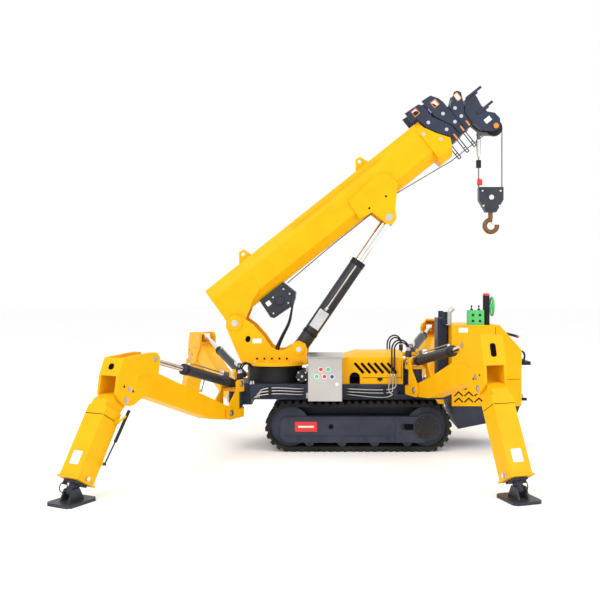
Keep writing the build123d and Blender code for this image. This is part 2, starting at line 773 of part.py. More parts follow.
# Outrigger legs
def swing_bracket(leg):
    """Yellow C bracket about the chassis lug, with its swing pin."""
    r1, z1 = leg["pin"]
    base_r, base_z = leg["base"]
    half = ARM_HALF + 4
    thick = 18
    notch_z0 = z1 + LUG_RISE - 1
    notch_z1 = z1 + LUG_RISE + LUG_TALL + 1
    outline = [
        (5, z1 - 58),
        (r1 + 20, z1 - 58),
        (r1 + 60, z1 - 30),
        (r1 + 62, z1 + 30),
        (base_r + 70, base_z - 60),
        (base_r + 48, base_z + 30),
        (base_r, base_z + 56),
        (base_r - 40, base_z + 30),
        (5, base_z - 30),
        (5, notch_z1),
        (82, notch_z1),
        (82, notch_z0),
        (5, notch_z0),
    ]
    body = both_sides(plate(outline, half, half + thick))
    for z0, z2 in ((notch_z1, notch_z1 + 24), (notch_z0 - 30, notch_z0)):
        body += block(0, 82, -half, half, z0, z2)
        body += rod_z(0, 0, half, z0, z2)
    body += rod_z(0, 0, SWING_PIN_R, notch_z0 - 5, notch_z1 + 5)
    body += rod_y(r1, z1, ARM_PIN_R, -half, half)
    body += rod_y(base_r, base_z, CYL_PIN_R, -half, half)
    return body


def leg_arm(leg):
    """Goosenecked arm with its pin at the origin and its knee on +X; knee plates at its end."""
    half = ARM_HALF
    end = ARM_LEN[leg["end"]]
    top = KNEE_TOP[leg["end"]]
    eye_a, eye_b = end - EYE_BACK[leg["end"]], EYE_UP[leg["end"]]
    body = plate(
        [
            (-42, 20),
            (-38, -40),
            (0, -58),
            (240, -70),
            (end - 168, 57),
            (end - 140, 240),
            (end - 300, 240),
            (300, 105),
            (0, 52),
        ],
        -half,
        half,
    )
    body -= rod_y(0, 0, ARM_PIN_R + RUN_GAP, -half - 1, half + 1)
    outline = [
        (end - 200, 50),
        (end - 89, -29),
        (end - 45, -40),
        (end + 5, -38),
        (end + 70, -8),
        (end + 110, 32),
        (end + 115, 163),
        (end + 86, top),
        (eye_a + 60, eye_b + 42),
        (eye_a - 10, eye_b + 50),
        (eye_a - 52, eye_b + 20),
        (eye_a - 60, 240),
    ]
    body += both_sides(plate(outline, half - 0.5, KNEE_HALF))
    face = [(end + 86, top), (end + 115, 163), (end + 99, 160), (end + 70, top - 3)]
    body += plate(face, -half, half)
    cap = [(end + 86, top), (end + 84, top - 16), (end - 60, top - 2), (end - 60, top + 14)]
    body += plate(cap, -half, half)
    body += rod_y(end, 0, KNEE_PIN_R, -half, half)
    return Pos(leg["pin"][0], 0, leg["pin"][1]) * Rot(0, -leg["rise"], 0) * body


def lower_leg(leg):
    """Lower leg along +X from the knee pin at the origin, set off towards the outside."""
    inner = ARM_HALF - 6
    end = LEG_LEN[leg["end"]] - FOOT_TALL
    mid = LEG_OFFSET
    head = [
        (-40, 30),
        (-48, 0),
        (-34, -34),
        (0, -48),
        (LEG_TOP, mid - LEG_HALF),
        (LEG_TOP, mid + LEG_HALF),
        (LEG_TOP - 45, mid + LEG_HALF - 4),
        (0, mid + 25),
    ]
    body = plate(head, -inner, inner)
    body -= rod_y(0, 0, KNEE_PIN_R + RUN_GAP, -inner - 1, inner + 1)
    body += block(LEG_TOP, end - FLANGE, -LEG_HALF, LEG_HALF, mid - LEG_HALF, mid + LEG_HALF)
    flange = LEG_HALF + FLANGE_GROW
    body += block(end - FLANGE, end, -flange, flange, mid - flange, mid + flange)
    return Pos(leg["knee"][0], 0, leg["knee"][1]) * Rot(0, leg["drop"], 0) * body


def leg_foot(leg):
    """Foot between the lower leg's flange and the pad's pin."""
    end = LEG_LEN[leg["end"]]
    mid = LEG_OFFSET
    body = block(end - FOOT_TALL, end - FOOT_TALL + 18, -55, 55, mid - 60, mid + 60)
    body += block(end - FOOT_TALL, end, -22, 22, mid - 30, mid + 30)
    body += rod_y(end, mid, 30, -22, 22)
    body -= rod_y(end, mid, PAD_PIN_R + RUN_GAP, -30, 30)
    return Pos(leg["knee"][0], 0, leg["knee"][1]) * Rot(0, leg["drop"], 0) * body


def pad(leg):
    """Flat foot plate with cut corners, its two cheeks and its pin."""
    r, z = leg["foot"]
    body = block(r - PAD_HALF_R, r + PAD_HALF_R, -PAD_HALF_Y, PAD_HALF_Y, 0, PAD_THICK)
    for sr in (-1, 1):
        for sy in (-1, 1):
            corner = Rot(0, 0, 45) * Box(PAD_CUT * 2, PAD_CUT * 2, 3 * PAD_THICK)
            corner_r = r + sr * (PAD_HALF_R + PAD_CUT * 0.4)
            body -= Pos(corner_r, sy * (PAD_HALF_Y + PAD_CUT * 0.4), 0) * corner
    cheek = plate([(r - 70, PAD_THICK), (r + 70, PAD_THICK), (r + 30, z + 24), (r - 30, z + 24)], 30, 44)
    body += both_sides(cheek)
    body += rod_y(r, z, PAD_PIN_R, -30.5, 30.5)
    return body


for leg in LEGS:
    name = leg["name"]
    base, eye = leg["base"], leg["eye"]
    length = math.hypot(eye[0] - base[0], eye[1] - base[1])
    direction = math.degrees(math.atan2(eye[1] - base[1], eye[0] - base[0]))
    leg["cyl_len"], leg["cyl_dir"] = length, direction
    barrel, rod = cylinder_pair(
        LEG_BARREL_R, LEG_ROD_R, LEG_BARREL_LEN, length, 34, 30, CYL_PIN_R, LEG_EXTEND, LEG_RETRACT
    )
    keep("leg_bracket_" + name, leg_place(swing_bracket(leg), leg))
    keep("leg_arm_" + name, leg_place(leg_arm(leg), leg))
    keep("leg_barrel_" + name, leg_place(place_cylinder(barrel, base[0], base[1], direction), leg))
    keep("leg_rod_" + name, leg_place(place_cylinder(rod, base[0], base[1], direction), leg))
    keep("leg_lower_" + name, leg_place(lower_leg(leg), leg))
    keep("leg_foot_" + name, leg_place(leg_foot(leg), leg))
    keep("pad_" + name, leg_place(pad(leg), leg))


# Frame: origin on the ground, in the middle of the whole machine's box
def whole_box():
    boxes = [s.bounding_box() for s in NODES.values()]
    low = [min(getattr(b.min, a) for b in boxes) for a in "XYZ"]
    high = [max(getattr(b.max, a) for b in boxes) for a in "XYZ"]
    return low, high


LOW, HIGH = whole_box()
ORIGIN_X = (LOW[0] + HIGH[0]) / 2
ORIGIN_Y = (LOW[1] + HIGH[1]) / 2
ORIGIN_Z = LOW[2]

for name, solid in NODES.items():
    NODES[name] = Pos(-ORIGIN_X, -ORIGIN_Y, -ORIGIN_Z) * solid
    export_step(NODES[name], "parts/%s.step" % name)
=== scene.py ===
import math

import bmesh
import bpy
from mathutils import Matrix, Vector


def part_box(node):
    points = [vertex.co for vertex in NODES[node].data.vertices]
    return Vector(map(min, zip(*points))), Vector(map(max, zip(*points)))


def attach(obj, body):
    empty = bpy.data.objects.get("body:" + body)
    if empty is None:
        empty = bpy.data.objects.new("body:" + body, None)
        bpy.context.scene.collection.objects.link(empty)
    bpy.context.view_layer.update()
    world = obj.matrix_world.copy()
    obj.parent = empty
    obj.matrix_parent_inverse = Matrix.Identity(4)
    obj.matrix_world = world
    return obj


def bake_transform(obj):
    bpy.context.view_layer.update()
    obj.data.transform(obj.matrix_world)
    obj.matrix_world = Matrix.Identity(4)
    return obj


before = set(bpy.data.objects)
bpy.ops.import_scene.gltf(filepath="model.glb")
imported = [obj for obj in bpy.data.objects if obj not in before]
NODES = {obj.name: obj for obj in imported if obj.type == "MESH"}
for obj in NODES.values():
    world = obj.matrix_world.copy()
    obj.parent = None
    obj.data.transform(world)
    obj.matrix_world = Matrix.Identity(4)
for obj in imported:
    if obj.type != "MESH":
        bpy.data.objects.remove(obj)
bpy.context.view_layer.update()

# Driving sizes in millimetres and degrees of the machine's own frame: x to the rear, ground at z = 0
SLEW_X = -775
FOOT_X, FOOT_Z = -1137, 1143
BOOM_ANGLE = 38.5
LIFT_BASE = (-544, 900)
LIFT_EYE_UV = (1731, -121)
LIFT_BARREL_LEN, LIFT_BARREL_R = 1000, 70
CHEEK_Y = 176
LEG_FRONT_X, LEG_REAR_X = -1110, 510
LEG_Y = 330
SPREAD = {"front": 63.0, "rear": 72.0}
ARM_PIN_R0 = 205
ARM_PIN_Z = {"front": 370, "rear": 570}
ARM_LEN = {"front": 1361, "rear": 1165}
LEG_LEN = {"front": 716, "rear": 769}
LEG_TILT = {"front": 58.5, "rear": 62.5}
LEG_OFFSET, LEG_HALF, KNEE_HALF = 68, 85, 92
KNEE_TOP = {"front": 296, "rear": 385}
EYE_BACK = {"front": 262, "rear": 205}
EYE_UP = {"front": 335, "rear": 330}
CYL_BASE_R0, CYL_BASE_UP = 50, 240
LEG_BARREL_LEN, LEG_BARREL_R = 735, 42
PAD_PIN_Z, PIPE_R = 75, 6
STRUT_Y = 120
BEAM_X0, BEAM_X1, BEAM_Z0, BEAM_HALF = -980, 851, 455, 300
HOOD_HALF = 285
BOX_X0, BOX_X1, BOX_HALF, BOX_Z1 = 851, 1485, 315, 1130
SLOPE_X0, SLOPE_Z1 = 1286, 905
CONSOLE_Y, CONSOLE_HALF, CONSOLE_Z1 = -230, 60, 1265
FRAME_Y, WHEEL_X, WHEEL_Z, MOTOR_Y = 400, 614.5, 222.5, 414
SLEW_MOTOR = (-510, -260, 664)
DOOR_Y = -475
BASE_HALF, WINCH_HALF = 135, 95
SHEAVE_UV = (3053, -72)
DEAD_FALL_X, LIVE_FALL_X, BLOCK_TOP = 1152, 1373, 2422
ROPE_Y, LEAD_Y = 84, 70
SIDES = ((-1, "left"), (1, "right"))

ORIGIN_X = BOX_X0 - 1000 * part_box("control_box")[0][0]


def R(x, y, z):
    """Millimetres of the machine's frame to metres of the row frame."""
    return Vector(((x - ORIGIN_X) / 1000, y / 1000, z / 1000))


def boom(u, v, y=0.0):
    """A point of the boom's own frame: u along it and v up from its foot pin."""
    a = math.radians(BOOM_ANGLE)
    x = FOOT_X + u * math.cos(a) - v * math.sin(a)
    z = FOOT_Z + u * math.sin(a) + v * math.cos(a)
    return R(x, y, z)


# Materials
DUST_COLOUR, DUST_TOP = (0.30, 0.25, 0.19, 1), 0.55


def material(
    name, dark, light, rough, metal=0.0, scale=6.0, bump=0.05, coat=0.0, grain=140.0, spec=0.5, dust=0.0
):
    """A surface with broad patches of two shades, fine grain in its shine and bumps, and dust low down."""
    m = bpy.data.materials.new(name)
    m.use_nodes = True
    nodes, link = m.node_tree.nodes, m.node_tree.links.new

    def fill(node, **values):
        """Set inputs of a node by name, with underscores for spaces."""
        for key, value in values.items():
            node.inputs[key.replace("_", " ")].default_value = value
        return node

    shader = nodes["Principled BSDF"]
    fill(shader, Metallic=metal, Specular_IOR_Level=spec, Coat_Weight=coat, Coat_Roughness=0.15)
    where = nodes.new("ShaderNodeTexCoord").outputs["Object"]
    broad = fill(nodes.new("ShaderNodeTexNoise"), Scale=scale, Detail=5)
    link(where, broad.inputs["Vector"])
    ramp = nodes.new("ShaderNodeValToRGB")
    for stop, place, shade in zip(ramp.color_ramp.elements, (0.3, 0.7), (dark, light)):
        stop.position = place
        stop.color = (*shade, 1)
    link(broad.outputs["Fac"], ramp.inputs["Fac"])
    colour = ramp.outputs["Color"]
    fine = fill(nodes.new("ShaderNodeTexNoise"), Scale=grain, Detail=3)
    link(where, fine.inputs["Vector"])
    if dust > 0:
        split = nodes.new("ShaderNodeSeparateXYZ")
        link(where, split.inputs["Vector"])
        low = nodes.new("ShaderNodeMapRange")
        fill(low, From_Min=DUST_TOP, From_Max=0.0, To_Min=0.0, To_Max=dust)
        link(split.outputs["Z"], low.inputs["Value"])
        patch = nodes.new("ShaderNodeMath")
        patch.operation = "MULTIPLY"
        link(low.outputs["Result"], patch.inputs[0])
        link(broad.outputs["Fac"], patch.inputs[1])
        mix = nodes.new("ShaderNodeMix")
        mix.data_type = "RGBA"
        mix.inputs["B"].default_value = DUST_COLOUR
        link(patch.outputs["Value"], mix.inputs["Factor"])
        link(colour, mix.inputs["A"])
        colour = mix.outputs["Result"]
    link(colour, shader.inputs["Base Color"])
    shine = nodes.new("ShaderNodeMapRange")
    fill(shine, To_Min=rough * 0.8, To_Max=min(1.0, rough * 1.25))
    link(fine.outputs["Fac"], shine.inputs["Value"])
    link(shine.outputs["Result"], shader.inputs["Roughness"])
    if bump > 0:
        dent = fill(nodes.new("ShaderNodeBump"), Strength=bump, Distance=0.002)
        link(fine.outputs["Fac"], dent.inputs["Height"])
        link(dent.outputs["Normal"], shader.inputs["Normal"])
    return m


YELLOW = material(
    "yellow paint", (0.83, 0.402, 0.001), (0.89, 0.447, 0.002), 0.42, coat=0.03, spec=0.12, dust=0.05
)
GREY = material(
    "blue grey paint", (0.024, 0.030, 0.052), (0.035, 0.042, 0.068), 0.45, coat=0.03, spec=0.2, dust=0.07
)
BLACK = material(
    "black paint", (0.007, 0.007, 0.009), (0.014, 0.014, 0.016), 0.5, spec=0.25, dust=0.06
)
RUBBER = material(
    "track rubber", (0.007, 0.007, 0.008), (0.016, 0.016, 0.016), 0.8, bump=0.3, spec=0.15, dust=0.06
)
CHROME = material("chrome rod", (0.70, 0.71, 0.73), (0.80, 0.81, 0.83), 0.12, metal=1.0, bump=0.0)
STEEL = material(
    "stainless", (0.46, 0.44, 0.41), (0.56, 0.54, 0.51), 0.33, metal=1.0, scale=3, bump=0.04, grain=300
)
IRON = material(
    "dark iron", (0.022, 0.025, 0.033), (0.038, 0.042, 0.052), 0.42, metal=0.2, bump=0.10, spec=0.35
)
BRONZE = material("bronze", (0.16, 0.075, 0.03), (0.26, 0.13, 0.055), 0.42, metal=0.7, bump=0.15)
GREEN = material("green plastic", (0.05, 0.42, 0.10), (0.10, 0.58, 0.16), 0.45)
ROPE = material("wire rope", (0.12, 0.12, 0.12), (0.24, 0.24, 0.24), 0.5, metal=0.8, bump=0.5, grain=500)
RED = material("red plastic", (0.60, 0.015, 0.012), (0.72, 0.03, 0.02), 0.4)
WHITE = material("white plate", (0.72, 0.72, 0.70), (0.84, 0.84, 0.82), 0.5)
# Near-black sheets: in holes, slots, louvres and openings this is painted shade for their shaded inside;
# on seams it is the dark joint line.
OPENING_SHADE_AND_SEAMS = material("dark opening", (0.003, 0.003, 0.003), (0.007, 0.007, 0.007), 0.9, spec=0.05)
HOSE = material("hose rubber", (0.006, 0.006, 0.006), (0.014, 0.014, 0.014), 0.55, bump=0.2, spec=0.3)
AMBER = material("wear pad", (0.70, 0.20, 0.02), (0.80, 0.27, 0.03), 0.5)
SILVER = material("zinc fitting", (0.55, 0.55, 0.56), (0.70, 0.70, 0.70), 0.32, metal=1.0, grain=200)
BLUE = material("blue plastic", (0.02, 0.05, 0.20), (0.03, 0.08, 0.28), 0.4)

BY_NODE = (
    ("track_frame", GREY),
    ("track_", RUBBER),
    ("chassis", GREY),
    ("slew_ring", BLACK),
    ("engine_hood", YELLOW),
    ("control_box", YELLOW),
    ("rear_skirt", GREY),
    ("boom_rest", GREY),
    ("levers", BLACK),
    ("remote_console", GREEN),
    ("cabinet", STEEL),
    ("turret", YELLOW),
    ("boom_base", YELLOW),
    ("winch", IRON),
    ("boom_section", GREY),
    ("lift_barrel", IRON),
    ("lift_rod", CHROME),
    ("rope_falls", ROPE),
    ("hook_block", IRON),
    ("hook", BRONZE),
    ("leg_bracket", YELLOW),
    ("leg_arm", YELLOW),
    ("leg_barrel", IRON),
    ("leg_rod", CHROME),
    ("leg_lower", YELLOW),
    ("leg_foot", GREY),
    ("pad_", IRON),
)
EDGE_WIDTH, EDGE_ANGLE, SHARP_ANGLE = 0.003, 40, 35
for name, node in NODES.items():
    for key, mat in BY_NODE:
        if name.startswith(key):
            node.data.materials.clear()
            node.data.materials.append(mat)
            break
    edge = node.modifiers.new("edge", "BEVEL")
    edge.width = EDGE_WIDTH
    edge.segments = 2
    edge.limit_method = "ANGLE"
    edge.angle_limit = math.radians(EDGE_ANGLE)


# Piece builders: points are in the row frame, in metres; radii and sizes are in millimetres
X = Vector((1, 0, 0))
Y = Vector((0, 1, 0))
Z = Vector((0, 0, 1))


class Piece:
    """A mesh put together from simple solids, of one material and riding on one body."""

    def __init__(self, name, body, mat):
        self.name, self.body, self.mat = name, body, mat
        self.bm = bmesh.new()

    def frame_of(self, axis):
        """A frame whose z points along the axis."""
        z = axis.normalized()
        x = z.orthogonal().normalized()
        return Matrix((x, z.cross(x), z)).transposed().to_4x4()

    def rod(self, p0, p1, r, seg=20, r2=None):
        """A round bar or a cone; with six sides, a bolt head."""
        axis = p1 - p0
        m = Matrix.Translation((p0 + p1) / 2) @ self.frame_of(axis)
        bmesh.ops.create_cone(
            self.bm,
            cap_ends=True,
            segments=seg,
            radius1=r / 1000,
            radius2=(r if r2 is None else r2) / 1000,
            depth=axis.length,
            matrix=m,
        )

    def box(self, centre, x_dir, z_dir, size):
        """A block with its length along x_dir and its third size along z_dir."""
        x = x_dir.normalized()
        z = (z_dir - x * z_dir.dot(x)).normalized()
        m = Matrix((x, z.cross(x), z)).transposed().to_4x4()
        scale = Matrix.Diagonal((size[0] / 1000, size[1] / 1000, size[2] / 1000, 1))
        bmesh.ops.create_cube(self.bm, size=1, matrix=Matrix.Translation(centre) @ m @ scale)

    def ball(self, centre, r):
        bmesh.ops.create_uvsphere(
            self.bm, u_segments=16, v_segments=10, radius=r / 1000, matrix=Matrix.Translation(centre)
        )

    def poly(self, points, depth):
        """A flat outline drawn out by a vector."""
        low = [self.bm.verts.new(p) for p in points]
        high = [self.bm.verts.new(p + depth) for p in points]
        self.bm.faces.new(low)
        self.bm.faces.new(list(reversed(high)))
        for i in range(len(low)):
            j = (i + 1) % len(low)
            self.bm.faces.new((low[i], high[i], high[j], low[j]))

    def ring(self, centre, axis, big, small, seg=32):
        """A round bar bent into a closed ring."""
        m = Matrix.Translation(centre) @ self.frame_of(axis)
        rows = []
        for i in range(seg):
            a = 2 * math.pi * i / seg
            row = []
            for k in range(8):
                b = 2 * math.pi * k / 8
                rad = (big + small * math.cos(b)) / 1000
                q = Vector((rad * math.cos(a), rad * math.sin(a), small * math.sin(b) / 1000))
                row.append(self.bm.verts.new(m @ q))
            rows.append(row)
        for i in range(seg):
            for k in range(8):
                a, b = rows[i], rows[(i + 1) % seg]
                self.bm.faces.new((a[k], b[k], b[(k + 1) % 8], a[(k + 1) % 8]))

    def tube(self, p0, p1, outer, inner, seg=40):
        """A round sleeve with an open bore."""
        m = Matrix.Translation(p0) @ self.frame_of(p1 - p0)
        length = (p1 - p0).length
        corners = ((inner, 0), (outer, 0), (outer, length), (inner, length))
        rows = []
        for i in range(seg):
            a = 2 * math.pi * i / seg
            spoke = Vector((math.cos(a), math.sin(a), 0)) / 1000
            rows.append([self.bm.verts.new(m @ (spoke * r + Z * z)) for r, z in corners])
        for i in range(seg):
            a, b = rows[i], rows[(i + 1) % seg]
            for k in range(4):
                self.bm.faces.new((a[k], b[k], b[(k + 1) % 4], a[(k + 1) % 4]))

    def slab(self, centre, x_dir, z_dir, size, r):
        """A plate with rounded corners: long along x_dir, wide across it, thick along z_dir."""
        x = x_dir.normalized()
        z = (z_dir - x * z_dir.dot(x)).normalized()
        y = z.cross(x)
        w, h = size[0] / 2 - r, size[1] / 2 - r
        points = []
        for k, (sx, sy) in enumerate(((1, 1), (-1, 1), (-1, -1), (1, -1))):
            for i in range(5):
                a = math.pi / 2 * (k + i / 4)
                px, py = sx * w + r * math.cos(a), sy * h + r * math.sin(a)
                points.append(centre + (x * px + y * py) / 1000 - z * (size[2] / 2000))
        self.poly(points, z * (size[2] / 1000))

    def done(self, bevel=0.0):
        """Make the object, with its edges rounded by the bevel, and put it on its body."""
        bmesh.ops.recalc_face_normals(self.bm, faces=self.bm.faces[:])
        mesh = bpy.data.meshes.new(self.name)
        self.bm.to_mesh(mesh)
        self.bm.free()
        obj = bpy.data.objects.new(self.name, mesh)
        bpy.context.scene.collection.objects.link(obj)
        mesh.materials.append(self.mat)
        mesh.shade_smooth()
        mesh.set_sharp_from_angle(angle=math.radians(SHARP_ANGLE))
        if bevel > 0:
            rounded = obj.modifiers.new("edge", "BEVEL")
            rounded.width = bevel / 1000
            rounded.segments = 2
            rounded.limit_method = "ANGLE"
        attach(obj, self.body)


def hose(name, body, points, r, mat, smooth=True, blend=None):
    """A bent round tube through the given points, on one body or stretched between two."""
    curve = bpy.data.curves.new(name, "CURVE")
    curve.dimensions = "3D"
    curve.bevel_depth = r / 1000
    curve.bevel_resolution = 3
    curve.use_fill_caps = True
    curve.resolution_u = 10
    if smooth:
        spline = curve.splines.new("BEZIER")
        spline.bezier_points.add(len(points) - 1)
        for knot, p in zip(spline.bezier_points, points):
            knot.co = p
            knot.handle_left_type = knot.handle_right_type = "AUTO"
    else:
        spline = curve.splines.new("POLY")
        spline.points.add(len(points) - 1)
        for knot, p in zip(spline.points, points):
            knot.co = (*p, 1)
    obj = bpy.data.objects.new(name, curve)
    bpy.context.scene.collection.objects.link(obj)
    curve.materials.append(mat)
    if blend:
        mesh = bpy.data.meshes.new_from_object(obj.evaluated_get(bpy.context.evaluated_depsgraph_get()))
        bpy.data.objects.remove(obj)
        obj = bpy.data.objects.new(name, mesh)
        bpy.context.scene.collection.objects.link(obj)
        mesh.shade_smooth()
        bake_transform(obj)
    else:
        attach(obj, body)
    return obj


# Outrigger legs
class Leg:
    """The frames of one leg: its swing bracket, arm, lower leg and lift cylinder."""

    def __init__(self, end, side):
        sign = -1 if side == "left" else 1
        self.end = end
        self.name = end + "_" + side
        heading = sign * (180 - SPREAD[end]) if end == "front" else sign * SPREAD[end]
        h = math.radians(heading)
        self.d = Vector((math.cos(h), math.sin(h), 0))
        self.n = Vector((-math.sin(h), math.cos(h), 0))
        self.at = R(LEG_FRONT_X if end == "front" else LEG_REAR_X, sign * LEG_Y, 0)
        self.pin = (ARM_PIN_R0, ARM_PIN_Z[end])
        self.base = (CYL_BASE_R0, ARM_PIN_Z[end] + CYL_BASE_UP)
        self.drop = math.radians(LEG_TILT[end])
        knee_z = PAD_PIN_Z + LEG_LEN[end] * math.sin(self.drop) - LEG_OFFSET * math.cos(self.drop)
        self.rise = math.asin((knee_z - self.pin[1]) / ARM_LEN[end])
        self.knee = (self.pin[0] + ARM_LEN[end] * math.cos(self.rise), knee_z)
        self.eye = self.arm_rz(ARM_LEN[end] - EYE_BACK[end], EYE_UP[end])

    def p(self, r, z, y=0.0):
        """A point r out from the swing axis, z above the ground and y across the leg."""
        return self.at + self.d * (r / 1000) + self.n * (y / 1000) + Z * (z / 1000)

    def arm_rz(self, a, b):
        c, s = math.cos(self.rise), math.sin(self.rise)
        return self.pin[0] + a * c - b * s, self.pin[1] + a * s + b * c

    def arm(self, a, b, y=0.0):
        """A point of the arm: a along it from its pin, b up from it, y across."""
        return self.p(*self.arm_rz(a, b), y)

    def low(self, a, b, y=0.0):
        """A point of the lower leg: a down it from the knee pin, b outward, y across."""
        c, s = math.cos(self.drop), math.sin(self.drop)
        return self.p(self.knee[0] + a * c + b * s, self.knee[1] - a * s + b * c, y)

    def cyl(self, a, b, y=0.0):
        """A point of the lift cylinder: a along it from its base pin, b up from it, y across."""
        base, eye = Vector(self.base), Vector(self.eye)
        run = (eye - base).normalized()
        q = base + run * a + Vector((-run.y, run.x)) * b
        return self.p(q.x, q.y, y)


LEGS = [Leg(end, tag) for end in ("front", "rear") for s, tag in SIDES]
BRACKET_FACE, BRACKET_WASHER, BRACKET_NUT = 93, 100, 108
BRACKET_WASHER_R, BRACKET_NUT_R = 27, 17
KNEE_WASHER, KNEE_NUT = KNEE_HALF + 5, KNEE_HALF + 12
STOP_BOLT = (-25, 82)
KNEE_BOLT_R, STOP_BOLT_R, EYE_BOLT_R, NUT_SHARE = 24, 20, 22, 0.62
KNEE_HOLES, KNEE_HOLE_R = ((-62, 70), (40, 95)), 9
KNEE_FACE_TOP, KNEE_FACE_LOW = 86, (115, 163)
SLOT_TALL, SLOT_WIDE = {"front": 46, "rear": 100}, 46
WELD_BACK, WELD_UP, WELD_STEP, WELD_SAG, WELD_R = 250, 205, 30, 2.6, 6
SEAM_DOWN, SEAM_WIDE = 175, 2 * LEG_HALF - 8
LEG_LABEL, LABEL_RISE = (95, 80, 3), 215
LOCK_RISE, LOCK_OUT, LOCK_R, LOCK_LOOP_R = 100, LEG_HALF + 18, 15, 20
STRUT_TOP, STRUT_MID, STRUT_END = (62, -22), (300, -6), (480, 12)
STRUT_LUG, STRUT_HOLD = (172, 34), (104, -19)
STRUT_R, STRUT_NOSE_R, STRUT_ROD_R, STRUT_EYE_R = 12, 14, 6, 11
FOOT_LOOP_R = 34
PORT_LOW, PORT_HIGH, PORT_RISE = 90, LEG_BARREL_LEN - 70, 62
LEG_VALVE, LEG_VALVE_AT = (90, 46, 42), (150, 60)
LEG_GLAND, LEG_BAND = 40, (60, 84)

